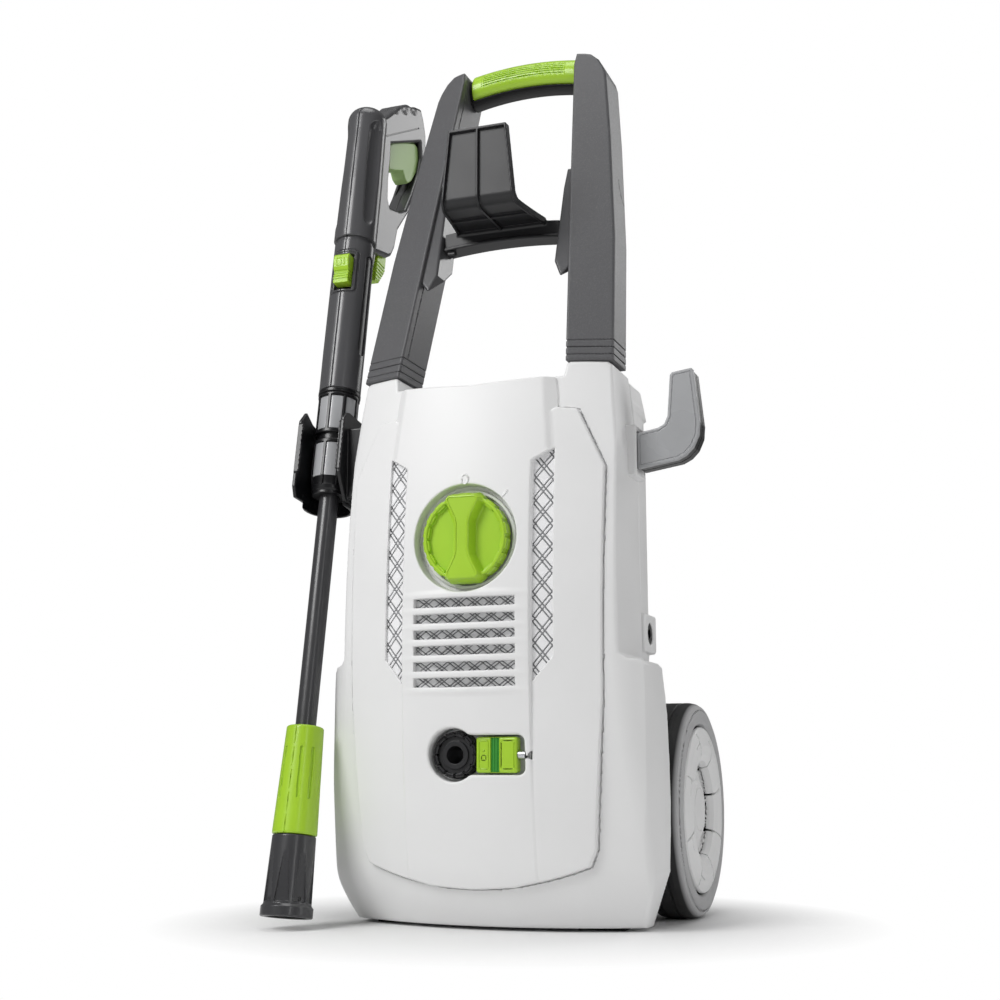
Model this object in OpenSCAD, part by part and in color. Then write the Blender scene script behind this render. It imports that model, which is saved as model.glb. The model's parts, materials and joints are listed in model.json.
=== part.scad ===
// Pressure washer: an upright wheeled housing with a fixed handle, hose hanger, cord hook
// and a spray gun with its lance held in a side clip. Millimetres.
// +X is to the right seen from the front, +Y to the back, +Z up. The origin is on the
// floor at the middle of the base.

/* [Housing] */
// Height of the two columns that carry the handle
column_top = 505; // [500:1:508]
// Radius of the curved front, seen from above
front_r = 330; // [328:1:334]
// Thickness of the moulded walls
wall = 3; // [2.5:0.5:3.5]
// How far the front cover stands proud of the housing
cover_step = 6; // [6:0.5:8]
// Seam between the front and rear housings
seam_y = -32; // [-33:0.5:-31]

/* [Handle] */
// Top of the uprights
handle_top = 864; // [860:1:868]
// Depth of the uprights, front to back
upright_depth = 57; // [52:1:58]
// Diameter of the grip
grip_d = 36; // [32:1:36]

/* [Wheels] */
// Diameter of the wheels
wheel_d = 202; // [198:1:204]
// Width of the wheels
wheel_w = 48; // [46:1:48]
// Diameter of the steel axle
axle_d = 12; // [10:1:14]

/* [Knob] */
// Diameter of the switch knob
knob_d = 80; // [74:1:84]
// Height of the knob's axis
knob_z = 341; // [338:1:344]

/* [Gun and lance] */
// Distance of the lance from the middle plane
lance_x = 165; // [165:1:168]
// Lean of the lance to the back
lance_tilt = 9.65; // [9.5:0.01:9.8]
// Diameter of the lance tube
tube_d = 19; // [17:0.5:20]
// Diameter of the gun's barrel
barrel_d = 42; // [41:0.5:43]

/* [Hidden] */
$fn = 96;

// Colours
white = "#e9e9ea";
lime = "#9fd62a";
graphite = "#5c5c5f";
black = "#1b1b1d";
silver = "#b9b9bb";
steel = "#a9adb2";
copper = "#b4703a";
brass = "#c9a349";

// Front form: a vertical axis behind the body, and a radius that swells at belly height
form_y = front_r - 146;
belly_z = 270;
belly_k = 2520;
toe_z = 57;
toe_k = 0.0062;
column_drop = 4;
levels = [0, 12, 24, 38, 57, 110, 170, 230, 290, 350, 410, 460, 512];
dip_z = 484;
bottom_z = 3;
shoulder_z = 233;
base_z = 5;
shelf_z = 205;
clear = 0.4;

// Wheel and axle
axle_y = 78;
axle_z = wheel_d / 2;
wheel_in = 116;
boss_len = wheel_w - 18;
axle_end = wheel_in + wheel_w - 11.4;
run = 0.05;

// Motor and pump, on one upright axis
motor_y = 5;
motor_r = 54;
shaft_r = 7;
bearing_r = 11;
pump_top = 215;
head_top = 165;
piston_ring = 26;

// Outlet recess in the front cover
outlet_x = -11;
outlet_z = 151;
outlet_r = 23;
slot_end = 54;
slot_h = 34;

// Gun and lance: distances along the lance, from the nozzle's end
lance_y = -146;
lance_z = 18;
nozzle_start = -8;
nozzle_len = 71;
sleeve_start = nozzle_start + nozzle_len;
sleeve_end = 161;
connector_start = 385;
drum_r = 20.5;
barrel_start = 494;
seat_end = 590;
ring_s = 660;
barrel_end = 801;
gun_half = 13;

function front_radius(z) = front_r - pow(z - belly_z, 2) / belly_k
    - (z < toe_z ? toe_k * pow(toe_z - z, 2) : 0);
function housing_drop(z) = cover_step + (z > 230 ? column_drop * pow((z - 230) / 275, 2) : 0);

// A half outline from the top middle, down the right side, to the bottom middle, made whole
function both(p) = concat(p, [for (i = [len(p) - 1:-1:0]) if (p[i][0] > 0) [-p[i][0], p[i][1]]]);

// The housing seen from the front, with its edges moved in by t
function housing_half(t, low) = [
    [0, dip_z - t], [82 + t, 491 - t], [84 + t, column_top - 2 - t],
    [121 - t, column_top - t], [124 - t, 498 - t], [130 - t, 424], [131 - t, 236 - t],
    [147 - t, shoulder_z - t], [151 - t, 225 - t], [154 - t, 180], [157 - t, 110],
    [154 - t, 50], [138 - t, low], [0, low]
];
// The housing seen from above, in front of the seam
function plan_half(t, back) = [
    [0, -200], [110, -200], [128 - t, -121 + t], [149 - t, -93 + t], [156 - t, -50],
    [158 - t, back], [0, back]
];
function cover_half(t) = concat(
    [[0, dip_z - t - 1], [76 - t, 489 - t], [79 - t, 459 - t], [97 - t, 457 - t],
     [121 - t, 404 - t], [118.5 - t, 200], [113.5 - t, 130], [109 - t, 71 + t / 2]],
    [for (x = [103, 78, 52, 26]) [x - t * x / 103, 37 + t + 20 * pow(x / 103, 2)]],
    [[0, 37 + t]]
);
vent_z = 209;
vent_pitch = 14;
window_half = [[60, 408], [79, 418], [79, 235], [60, 213]];

module lance_place() translate([-lance_x, lance_y, lance_z]) rotate([-lance_tilt, 0, 0]) children();
module from_front(y0, y1) translate([0, y1, 0]) rotate([90, 0, 0]) linear_extrude(y1 - y0) children();
module from_side(x0, x1) translate([x0, 0, 0]) rotate([90, 0, 90]) linear_extrude(x1 - x0) children();
module both_sides() { children(); mirror([1, 0, 0]) children(); }
module ring(r1, r2, h) difference() {
    cylinder(r = r1, h = h);
    translate([0, 0, -1]) cylinder(r = r2, h = h + 2);
}
module along_x(x, y, z) translate([x, y, z]) rotate([0, 90, 0]) children();
module along_y(x, y, z) translate([x, y, z]) rotate([-90, 0, 0]) children();

// The body of revolution behind the curved front, set back by drop
module front_form(drop = 0, housing = false) translate([0, form_y, 0]) rotate_extrude($fn = 180)
    polygon(concat([[0, levels[0]]],
        [for (z = levels) [front_radius(z) - drop - (housing ? housing_drop(z) : 0), z]],
        [[0, levels[len(levels) - 1]]]));

module housing_outline(t, low) from_front(-200, 120) polygon(both(housing_half(t, low)));

// ---- Housing ----

module front_housing() color(white) difference() {
    intersection() {
        front_form(0, true);
        housing_outline(0, bottom_z);
        linear_extrude(520) polygon(both(plan_half(0, seam_y)));
    }
    intersection() {
        front_form(wall, true);
        housing_outline(wall, 0);
        linear_extrude(520) polygon(both(plan_half(wall, seam_y + 1)));
    }
    from_front(-200, -70) polygon(both([[0, 440], [90, 440], [100, 400], [100, 90], [0, 70]]));
    both_sides() upright_socket(clear);
}

// The vertical plug at the foot of an upright, which stands in the column
module upright_socket(grow) translate([88 - grow, -84 - grow, 460 - grow])
    cube([28 + 2 * grow, 30 + 2 * grow, 60]);

module front_cover() color(white) difference() {
    union() {
        difference() {
            intersection() {
                front_form(0);
                from_front(-200, 0) polygon(both(cover_half(0)));
            }
            intersection() {
                front_form(wall);
                from_front(-200, 1) polygon(both(cover_half(wall)));
            }
            front_form(cover_step - 0.3);
        }
        intersection() {
            front_form(0.5);
            union() {
                along_y(0, -150, knob_z) cylinder(r = knob_d / 2 + 11.5, h = 30);
                along_y(outlet_x, -150, outlet_z) cylinder(r = outlet_r + wall, h = 32);
                translate([outlet_x, -150, outlet_z - slot_h / 2 - wall])
                    cube([slot_end - outlet_x + wall, 32, slot_h + 2 * wall]);
            }
        }
    }
    // Knob recess, with a step round its floor
    along_y(0, -160, knob_z) cylinder(r = knob_d / 2 + 8.5, h = 33);
    along_y(0, -160, knob_z) cylinder(r = knob_d / 2 + 4, h = 36.5);
    along_y(0, -130, knob_z) cylinder(r = 6.4, h = 20);
    // Outlet recess
    along_y(outlet_x, -160, outlet_z) cylinder(r = outlet_r, h = 38);
    along_y(outlet_x, -130, outlet_z) cylinder(r = 20.5, h = 20);
    translate([outlet_x, -160, outlet_z - slot_h / 2]) cube([slot_end - outlet_x, 38, slot_h]);
    // Six vent slots and the two side windows
    for (i = [0:5]) translate([-48, -160, vent_z + i * vent_pitch]) cube([96, 32, 8.5]);
    both_sides() from_front(-200, -60) polygon(window_half);
}

module side_grilles() color(silver) both_sides() difference() {
    intersection() {
        difference() { front_form(cover_step); front_form(cover_step + 2); }
        from_front(-200, 0) polygon([[57, 411], [82, 424], [82, 232], [57, 205]]);
        translate([0, -160, 190]) cube([90, 60, 250]);
    }
    for (i = [0:8]) along_y(69.5, -160, 240 + i * 20) rotate(45) cylinder(r = 8, h = 90, $fn = 4);
}

module vent_grille() color(silver) difference() {
    translate([-52, -133, vent_z - 4]) cube([104, 2, 6 * vent_pitch]);
    for (i = [0:5], j = [-3:3]) along_y(j * vent_pitch, -140, vent_z + 4.25 + i * vent_pitch)
        cylinder(r = 4.2, h = 20, $fn = 4);
}

function rear_side(t, low) = [[seam_y - t, low], [seam_y - t, 486 - t], [40 - t, 486 - t],
    [58 - t, 470 - t], [72 - t, 240], [94 - t, shelf_z], [97 - t, 24], [88 - t, low]];
function rear_half(t, low) = [[0, 486 - t], [122 - t, 486 - t], [125.5 - t, 480], [130 - t, 424],
    [131 - t, shoulder_z + 6 - t], [112 - t, shelf_z - t], [112 - t, low], [0, low]];
rear_cols = [[seam_y, 400], [seam_y, column_top - 3], [6, column_top - 3], [16, 486], [30, 400]];
rear_plan = [[0, -40], [140, -40], [131, 0], [117, 36], [98, 72], [98, 110], [0, 110]];
module rear_form(t, low) intersection() {
    from_front(-100, 120) polygon(both(rear_half(t, low)));
    from_side(-140, 140) polygon(rear_side(t, low));
    union() {
        translate([-120, -60, -1]) cube([240, 180, shelf_z + 1 - t]);
        linear_extrude(520) polygon(both([for (p = rear_plan) [p[0] > t ? p[0] - t : 0, p[1]]]));
    }
}
gland_y = -8;
gland_z = 262.5;
screw_places = [[84, 262], [78, 440], [88, 190], [78, 40]];
function rear_y(z) = z > 240 ? 72 - (z - 240) * 14 / 230 : 96;

module rear_housing() color(white) difference() {
    union() {
        difference() { rear_form(0, 8); rear_form(wall, 0); }
        // Column tops behind the uprights
        both_sides() intersection() {
            from_front(-100, 120) polygon([[85, 486], [85, column_top - 3],
                [121, column_top - 3], [124, 498], [125, 486]]);
            from_side(-140, 140) polygon(rear_cols);
        }
        for (p = screw_places) both_sides() along_y(p[0], rear_y(p[1]) - 20, p[1]) cylinder(r = 7, h = 22);
        translate([127, gland_y - 21, gland_z - 18]) cube([7, 42, 36]);
    }
    for (p = screw_places) both_sides() {
        along_y(p[0], rear_y(p[1]) - 1, p[1]) cylinder(r = 4.3, h = 10);
        along_y(p[0], rear_y(p[1]) - 30, p[1]) cylinder(r = 2.1, h = 40);
    }
    // Cooling slots, inlet, axle and gland holes
    for (i = [0:7]) translate([-60, 40, 280 + i * 16]) cube([120, 60, 6]);
    along_y(-20, 60, 130) cylinder(r = 14.2, h = 60);
    along_x(-130, axle_y, axle_z) cylinder(r = axle_d / 2 + 1, h = 260);
    along_x(100, gland_y, gland_z) cylinder(r = 10.2, h = 60);
    both_sides() upright_socket(clear);
}

module base_plate() color(black) difference() {
    union() {
        translate([-108, seam_y, base_z]) cube([216, 116, 3.6]);
        translate([-122, -58, base_z]) cube([244, 26, 5]);
        translate([-40, -20, 0]) cube([80, 40, base_z + 1]);
        // Lip that closes the curved front from below
        intersection() {
            front_form(wall + 0.5, true);
            translate([-122, -160, base_z]) cube([244, 110, 4]);
        }
        // Walls that close the shoulders in front of the wheels
        both_sides() from_front(seam_y - 4, seam_y - 1) polygon([[107, base_z], [127, base_z],
            [145, 48], [150, 110], [148, 180], [144, 222], [107, 222]]);
        // Axle brackets
        both_sides() from_side(92, 104) polygon([[50, base_z], [50, 60], [64, 114], [92, 114], [83, base_z]]);
    }
    along_x(-120, axle_y, axle_z) cylinder(r = axle_d / 2 + run, h = 240);
}

module rubber_feet() color(black) both_sides() translate([76, -56, 0]) cube([42, 20, base_z]);

module housing_screws() color(steel) for (p = screw_places) both_sides() {
    along_y(p[0], rear_y(p[1]) - 1, p[1]) cylinder(r = 4, h = 2.6);
    along_y(p[0], rear_y(p[1]) - 19, p[1]) cylinder(r = 2, h = 18.2);
}

module cord_gland() color(black) difference() {
    union() {
        along_x(126, gland_y, gland_z) cylinder(r = 10, h = 6.5);
        along_x(120, gland_y, gland_z) cylinder(r = 13, h = 6);
    }
    along_x(110, gland_y, gland_z) cylinder(r = 4.5, h = 40);
}

// ---- Handle, hanger and hooks ----

function lean(z) = -100 + (z - 505) * 112 / 361;
module upright() {
    intersection() {
        from_front(-120, 120) polygon([[83, 505.4], [124, 505.4], [115, 640], [102, 760],
            [92, 835], [84, handle_top - 7], [74, handle_top], [62, handle_top], [60.5, 850], [70, 700]]);
        from_side(0, 140) polygon([[lean(505), 505.4], [lean(640), 640], [lean(handle_top), handle_top + 1],
            [lean(handle_top) + upright_depth, handle_top + 1], [lean(640) + upright_depth, 640],
            [lean(505) + upright_depth, 505.4]]);
    }
    upright_socket(0);
}
module handle_upright_right() color(graphite) upright();
module handle_upright_left() color(graphite) mirror([1, 0, 0]) upright();

grip_arc = 300;
grip_y = lean(860) + upright_depth / 2 - 3;
grip_z = 855;
module grip_part(low, high, r) translate([0, grip_y, grip_z - grip_arc]) rotate([90, 0, 0])
    rotate([0, 0, 90 - asin(60 / grip_arc)]) rotate_extrude(angle = 2 * asin(60 / grip_arc), $fn = 180)
    intersection() {
        translate([grip_arc, 0]) circle(r = r, $fn = 64);
        translate([grip_arc + low, -40]) square([high - low, 80]);
    }
module grip_upper() color(lime) intersection() {
    grip_part(-7, 40, grip_d / 2);
    translate([-59.7, -100, 700]) cube([119.4, 300, 200]);
}
module grip_lower() color(black) intersection() {
    grip_part(-40, -7, grip_d / 2 - 1);
    translate([-59.7, -100, 700]) cube([119.4, 300, 200]);
}

module hanger_pads() color(black) both_sides() difference() {
    intersection() {
        from_front(-120, 60) polygon([[60.4, 616], [62, 700], [64, 722], [74, 722], [86, 620], [68, 598]]);
        from_side(0, 120) polygon([[lean(598) + 1, 598], [lean(722) + 1, 722],
            [lean(722) + 37, 722], [lean(630) + 37, 630]]);
    }
    // The upright's inner face
    from_front(-140, 100) polygon([[83.2, 500], [69.8, 700], [66, 770], [130, 770], [130, 500]]);
}

module hose_hanger() color(black) {
    difference() {
        union() {
            // Crossbar between the pads
            translate([-59.8, -46, 646]) cube([119.6, 22, 18]);
            // Shelf and upturned plate
            from_front(-114, -40) polygon([[-44, 662], [44, 662], [36, 676], [30, 741],
                [-30, 741], [-36, 676]]);
        }
        // Hollow behind the plate, where the coiled hose hangs
        translate([-60, -108, 667]) cube([120, 90, 90]);
        // Ribbed front of the plate: two open pockets and a middle rib
        for (s = [-1, 1]) translate([s * 13 - 11, -120, 672]) cube([22, 9, 64]);
        // Ribbed underside of the shelf
        for (s = [-1, 1]) translate([s * 20 - 18, -106, 655]) cube([36, 56, 9]);
    }
}

module cord_hook() color(silver) difference() {
    from_front(-62, -34) polygon([[138, 408], [138, 442], [160, 446], [167, 455], [170, 496],
        [192, 499], [197, 448], [190, 424], [178, 414]]);
    from_front(-54, -33) polygon([[141, 411], [141, 439], [162, 443], [170, 453], [173, 492],
        [189, 495], [193.5, 450], [187, 427], [177, 417.5]]);
}
module cord_hook_socket() color(white) difference() {
    translate([110, -64, 402]) cube([27.8, 31, 48]);
    housing_outline(-0.2, 0);
}

clip_in = drum_r + 0.7;
clip_out = clip_in + 4.2;
module gun_clip() color(black) union() {
    lance_place() translate([0, 0, 374]) difference() {
        union() {
            for (x = [-clip_out, clip_in]) translate([x, -30, 6]) cube([clip_out - clip_in, 46, 86]);
            translate([-clip_out, 14, 6]) cube([2 * clip_out, clip_out - 14, 60]);
            difference() {
                cylinder(r = clip_out, h = 12);
                translate([-clip_in, -40, -1]) cube([2 * clip_in, 44, 14]);
            }
        }
        translate([0, 0, -1]) cylinder(r = clip_in, h = 100);
    }
    difference() {
        translate([-lance_x + clip_in + 2, -94, 392]) cube([30, 34, 70]);
        housing_outline(-0.2, 0);
        lance_place() translate([0, 0, 340]) cylinder(r = clip_out - 1, h = 160);
    }
}

// ---- Motor and pump ----

module motor_place(z) translate([0, motor_y, z]) children();
module motor_can() color(steel) motor_place(pump_top) difference() {
    cylinder(r = motor_r, h = 160);
    translate([0, 0, 3]) cylinder(r = motor_r - 3, h = 160);
    translate([0, 0, -1]) cylinder(r = bearing_r + 0.5, h = 10);
}
module motor_end_cap() color(steel) motor_place(375) difference() {
    union() { cylinder(r = motor_r, h = 5); cylinder(r = 18, h = 14); }
    translate([0, 0, -1]) cylinder(r = bearing_r, h = 12);
    translate([0, 0, -1]) cylinder(r = shaft_r + 1, h = 20);
    for (a = [0:45:315]) rotate(a) translate([34, 0, -1]) cylinder(r = 8, h = 8);
}
module stator_core() color(copper) motor_place(238) ring(motor_r - 3.1, 28.5, 114);
module motor_bearings() color(steel) {
    motor_place(pump_top - 9) ring(bearing_r - 0.02, shaft_r + run, 9);
    motor_place(377) ring(bearing_r - 0.02, shaft_r + run, 9);
}
module motor_shaft() color(steel) motor_place(184) cylinder(r = shaft_r, h = 240);
module rotor_core() color(steel) motor_place(242) difference() {
    cylinder(r = 27.5, h = 106);
    translate([0, 0, -1]) cylinder(r = shaft_r + 0.01, h = 110);
    for (a = [0:30:330]) rotate(a) translate([27, -1.5, -1]) cube([4, 3, 110]);
}
module cooling_fan() color(black) motor_place(394) difference() {
    union() {
        cylinder(r = 13, h = 16);
        cylinder(r = 45, h = 2);
        for (a = [0:40:320]) rotate(a) translate([10, -1, 0]) cube([35, 2, 15]);
    }
    translate([0, 0, -1]) cylinder(r = shaft_r + 0.01, h = 20);
}
module swash_plate() color(steel) motor_place(192) difference() {
    union() { cylinder(r = 12, h = 12); rotate([7, 0, 0]) translate([0, 0, -5]) cylinder(r = 34, h = 9); }
    translate([0, 0, -30]) cylinder(r = shaft_r + 0.01, h = 60);
}
module pump_body() color(steel) motor_place(head_top) difference() {
    cylinder(r = 56, h = pump_top - head_top);
    translate([0, 0, -1]) cylinder(r = 42, h = 40);
    cylinder(r = bearing_r, h = 60);
}
module piston_places() for (a = [90, 210, 330]) rotate(a) translate([piston_ring, 0, 0]) children();
module pump_head() color(silver) difference() {
    union() {
        translate([-50, motor_y - 50, 96]) cube([100, 100, head_top - 96]);
        along_y(outlet_x, motor_y - 56, outlet_z - 8) cylinder(r = 14, h = 10);
    }
    motor_place(120) piston_places() cylinder(r = shaft_r + run, h = 60);
    along_y(outlet_x, motor_y - 60, outlet_z - 8) cylinder(r = 8.05, h = 16);
    along_y(-20, motor_y + 34, 130) cylinder(r = 10.05, h = 20);
    along_x(36, motor_y, 130) cylinder(r = 9.05, h = 20);
}
module pump_pistons() color(steel) motor_place(124) piston_places() {
    cylinder(r = shaft_r, h = 52);
    translate([0, 0, 51]) cylinder(r = 9, h = 3);
}
module piston_springs() color(steel) motor_place(head_top + 0.2) piston_places() ring(9, 7.3, 9.4);
module unloader_valve() color(brass) along_x(37, motor_y, 130) {
    cylinder(r = 9, h = 14);
    translate([0, 0, 13.2]) cylinder(r = 14, h = 10, $fn = 6);
    translate([0, 0, 23]) cylinder(r = 10, h = 18);
}
module outlet_pipe() color(steel) {
    along_y(outlet_x, -82, outlet_z - 8) cylinder(r = 8, h = 42.5);
    along_y(outlet_x, -94, outlet_z) cylinder(r = 8, h = 14);
    translate([outlet_x - 8, -88, outlet_z - 16]) cube([16, 14, 24]);
}
module outlet_coupling() color(black) difference() {
    union() {
        along_y(outlet_x, -134, outlet_z) ring(20, 16, 40);
        along_y(outlet_x, -131, outlet_z) ring(16.5, 11, 37);
        along_y(outlet_x, -133, outlet_z) ring(13, 7.5, 38.7);
    }
    along_y(outlet_x, -96, outlet_z) cylinder(r = 8.05, h = 10);
}
module water_inlet() color(brass) difference() {
    union() {
        along_y(-20, motor_y + 35, 130) cylinder(r = 10, h = 20);
        along_y(-20, motor_y + 50.2, 130) cylinder(r = 16, h = 34, $fn = 6);
        along_y(-20, motor_y + 84, 130) cylinder(r = 14, h = 9.5);
        along_y(-20, motor_y + 93.5, 130) cylinder(r = 13.2, h = 18.5);
    }
    along_y(-20, motor_y + 60, 130) cylinder(r = 9, h = 60);
}
module switch_housing() color(black) difference() {
    translate([-26, -118, knob_z - 27]) cube([52, 32, 54]);
    along_y(0, -130, knob_z) cylinder(r = 4.05, h = 32);
}
module capacitor() color(black) translate([88, 24, 300]) {
    cylinder(r = 17, h = 76);
    translate([-6, -1, 75]) cube([4, 2, 10]);
    translate([3, -1, 75]) cube([4, 2, 10]);
}

// ---- Knob ----

module knob() color(lime) difference() {
    union() {
        along_y(0, -139, knob_z) cylinder(r = knob_d / 2 - 1.5, h = 12);
        along_y(0, -138, knob_z) for (a = [0:22.5:337.5]) rotate(a)
            translate([knob_d / 2 - 6, -4.6, 0]) cube([6, 9.2, 10.5]);
        from_front(-149, -137) translate([0, knob_z]) polygon([[-15, 36], [15, 36], [6.5, 17], [6.5, -17],
            [15, -36], [-15, -36], [-6.5, -17], [-6.5, 17]]);
    }
    along_y(0, -134, knob_z) cylinder(r = 4.05, h = 20);
}
module knob_shaft() color(steel) along_y(0, -133.8, knob_z) cylinder(r = 4, h = 34);

// ---- Outlet latch ----

module outlet_latch() color(lime) union() {
    difference() {
        translate([9.5, -136, outlet_z - 15.5]) cube([38, 11, 31]);
        translate([23, -138, outlet_z - 17]) cube([8, 5, 34]);
    }
    for (i = [0:2]) translate([23.6 + i * 2.6, -134.5, outlet_z - 15]) cube([1.4, 3, 30]);
}
module latch_spring() color(steel) along_x(47.6, -130.5, outlet_z) ring(4, 3, 6.2);

// ---- Wheels ----

module wheel_axle() color(steel) along_x(-axle_end, axle_y, axle_z)
    cylinder(r = axle_d / 2, h = 2 * axle_end);
module axle_clips() color(steel) both_sides() along_x(wheel_in + boss_len + 0.2, axle_y, axle_z)
    ring(axle_d / 2 + 5, axle_d / 2 + 0.02, 1.6);
module wheel_place() translate([wheel_in, axle_y, axle_z]) rotate([0, 90, 0]) children();
module tyre() wheel_place() rotate_extrude($fn = 144) polygon([
    [78, 2], [90, 0], [wheel_d / 2 - 3, 3], [wheel_d / 2, 8], [wheel_d / 2, wheel_w - 12],
    [wheel_d / 2 - 3, wheel_w - 6], [90, wheel_w - 3], [84, wheel_w - 3], [78, wheel_w - 10]
]);
module hub() wheel_place() difference() {
    union() {
        rotate_extrude($fn = 144) polygon([[60, 6], [77.9, 6], [77.9, wheel_w - 14], [74, wheel_w - 14],
            [74, 12], [60, 12]]);
        translate([0, 0, 6]) cylinder(r = 61, h = 5);
        cylinder(r = 14, h = boss_len);
    }
    translate([0, 0, -1]) cylinder(r = axle_d / 2 + run, h = 60);
}
module hub_cap() wheel_place() difference() {
    rotate_extrude($fn = 144) polygon([[0, wheel_w - 8], [26, wheel_w - 8], [30, wheel_w - 14],
        [40, wheel_w - 14], [44, wheel_w - 3], [60, wheel_w], [77.6, wheel_w - 3.5], [77.6, wheel_w - 7],
        [60, wheel_w - 3.5], [46, wheel_w - 6], [42, wheel_w - 17], [28, wheel_w - 17], [24, wheel_w - 11],
        [0, wheel_w - 11]]);
    for (a = [0:45:315]) rotate(a) translate([47, -0.8, wheel_w - 4]) cube([30, 1.6, 8]);
}
module tyre_right() color(silver) tyre();
module tyre_left() color(silver) mirror([1, 0, 0]) tyre();
module hub_right() color(black) hub();
module hub_left() color(black) mirror([1, 0, 0]) hub();
module hub_cap_right() color(white) hub_cap();
module hub_cap_left() color(white) mirror([1, 0, 0]) hub_cap();

// ---- Gun ----
// Side views are drawn as [towards the back, along the lance]

gun_side = [
    [6, 650], [14, 661], [25, 667], [53, 676], [61, 682], [67, 694], [71, 716], [93, 750], [110, 784],
    [121, 818], [124, 848], [120, 866], [111, 881], [101, 891], [78, 881], [57, 868], [40, 852], [24, 834],
    [10, 820]
];
finger_gap = [[37, 785], [37, 760], [40, 738], [46, 731], [70, 740], [84, 750], [97, 778], [108, 808],
    [112, 832], [106, 850], [35, 803]];
trigger_slot = [[32, 778], [32, 806], [38, 812], [44, 824], [51, 831], [61, 832], [98, 857], [107, 860],
    [113, 856], [117, 846], [117, 815], [108, 795], [98, 778]];
trigger_side = [[45, 778], [41, 788], [40, 806], [48, 813], [50, 826], [53, 829], [59, 829], [64, 825],
    [101, 846], [110, 846], [116, 836], [114, 818], [102, 797], [93, 789], [85, 790], [78, 796], [60, 785]];
trigger_pin = [56, 823];
trigger_half = 8;
grip_start = 810;
grip_lean = 58.2;
nipple_start = 112.5;
nipple_len = 17.5;
lock_y = [41, 61.5];
module along_grip() translate([0, 0, grip_start]) rotate([-grip_lean, 0, 0]) children();
module gun_form() {
    translate([0, 0, barrel_start]) rotate_extrude() polygon([[0, 0], [barrel_d / 2 - 0.4, 0],
        [barrel_d / 2, ring_s - barrel_start - 3], [barrel_d / 2 - 1.4, ring_s - barrel_start],
        [barrel_d / 2, ring_s - barrel_start + 3], [barrel_d / 2, barrel_end - barrel_start],
        [0, barrel_end - barrel_start]]);
    translate([0, 0, barrel_end]) sphere(r = barrel_d / 2);
    difference() {
        from_side(-gun_half, gun_half) polygon(gun_side);
        from_side(-gun_half - 1, gun_half + 1) polygon(finger_gap);
    }
}
module gun_hollow() {
    // Seat for the lance connector, and the valve's chamber above it
    translate([0, 0, barrel_start - 1]) cylinder(r = 17.4, h = seat_end - barrel_start + 1);
    cylinder(r = 11, h = barrel_end);
    cylinder(r = 7.2, h = barrel_end + 14);
    // Grip passage, the recess round its nipple, and the trigger slot
    along_grip() cylinder(r = 7.5, h = 200);
    along_grip() translate([0, 0, nipple_start - 1.5]) cylinder(r = 12, h = 60);
    from_side(-trigger_half - 1, trigger_half + 1) polygon(trigger_slot);
    // Window and track of the release button
    translate([-9.1, -40, 601]) cube([18.2, 32, 40]);
    // Pocket of the lock button
    translate([-6.3, lock_y[0] - 1.5, 600]) cube([12.6, lock_y[1] - lock_y[0] + 3, 108]);
}
module gun_half_shell(x0) lance_place() intersection() {
    union() {
        difference() { gun_form(); gun_hollow(); }
        along_x(1 - gun_half, trigger_pin[0], trigger_pin[1]) cylinder(r = 3 - run, h = 2 * gun_half - 2);
    }
    translate([x0, -60, 480]) cube([40, 260, 430]);
}
module gun_shell_left() color(graphite) gun_half_shell(-40);
module gun_shell_right() color(graphite) gun_half_shell(0);
module gun_valve() color(brass) lance_place() {
    translate([0, 0, 592]) cylinder(r = 7.5, h = 74);
    translate([0, 0, 664]) cylinder(r = 10.6, h = 130);
    translate([0, 0, 790]) cylinder(r = 6.5, h = grip_start + 3 - 790);
    along_grip() difference() {
        union() {
            cylinder(r = 6.5, h = nipple_start + 1);
            translate([0, 0, nipple_start]) cylinder(r = 8.5, h = nipple_len);
        }
        translate([0, 0, nipple_start - 24]) cylinder(r = 3.5, h = 60);
    }
}
module trigger() color(lime) lance_place() difference() {
    from_side(-trigger_half, trigger_half) polygon(trigger_side);
    along_x(-20, trigger_pin[0], trigger_pin[1]) cylinder(r = 3, h = 40);
}
module trigger_lock() color(lime) lance_place() from_side(-5.8, 5.8)
    polygon([[lock_y[0], 643], [49, 645], [lock_y[1], 662], [lock_y[1], 700], [lock_y[0], 700]]);
module lance_release() color(lime) lance_place() union() {
    translate([-8.5, -26, 607]) cube([17, 13, 31]);
    for (i = [0:3]) translate([-8.5, -27.4, 609 + i * 3.6]) cube([17, 2, 1.8]);
}

// ---- Lance ----

module lance_connector() color(black) lance_place() translate([0, 0, connector_start]) difference() {
    union() {
        cylinder(r = 13, h = 200);
        cylinder(r = 17, h = 104);
        // Two fluted drums, the flange under the gun, and the seat inside it
        difference() {
            union() {
                translate([0, 0, 4]) cylinder(r = drum_r, h = 51);
                translate([0, 0, 61.5]) cylinder(r = drum_r, h = 43);
            }
            for (a = [0:45:315]) rotate(a) translate([17.6, -4, 8]) cube([6, 8, 43]);
            for (a = [0:45:315]) rotate(a) translate([17.6, -4, 65.5]) cube([6, 8, 37]);
        }
        translate([0, 0, 104]) cylinder(r = drum_r + 0.4, h = 4.5);
        translate([0, 0, 140]) cylinder(r = 17.2, h = 40);
    }
    translate([0, 0, -1]) cylinder(r = tube_d / 2 + 0.02, h = 61);
    translate([0, 0, 190]) cylinder(r = 8, h = 20);
}
module lance_tube() color(graphite) lance_place() translate([0, 0, sleeve_start - 13])
    ring(tube_d / 2, tube_d / 2 - 1.5, connector_start + 59 - sleeve_start + 13);
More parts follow.
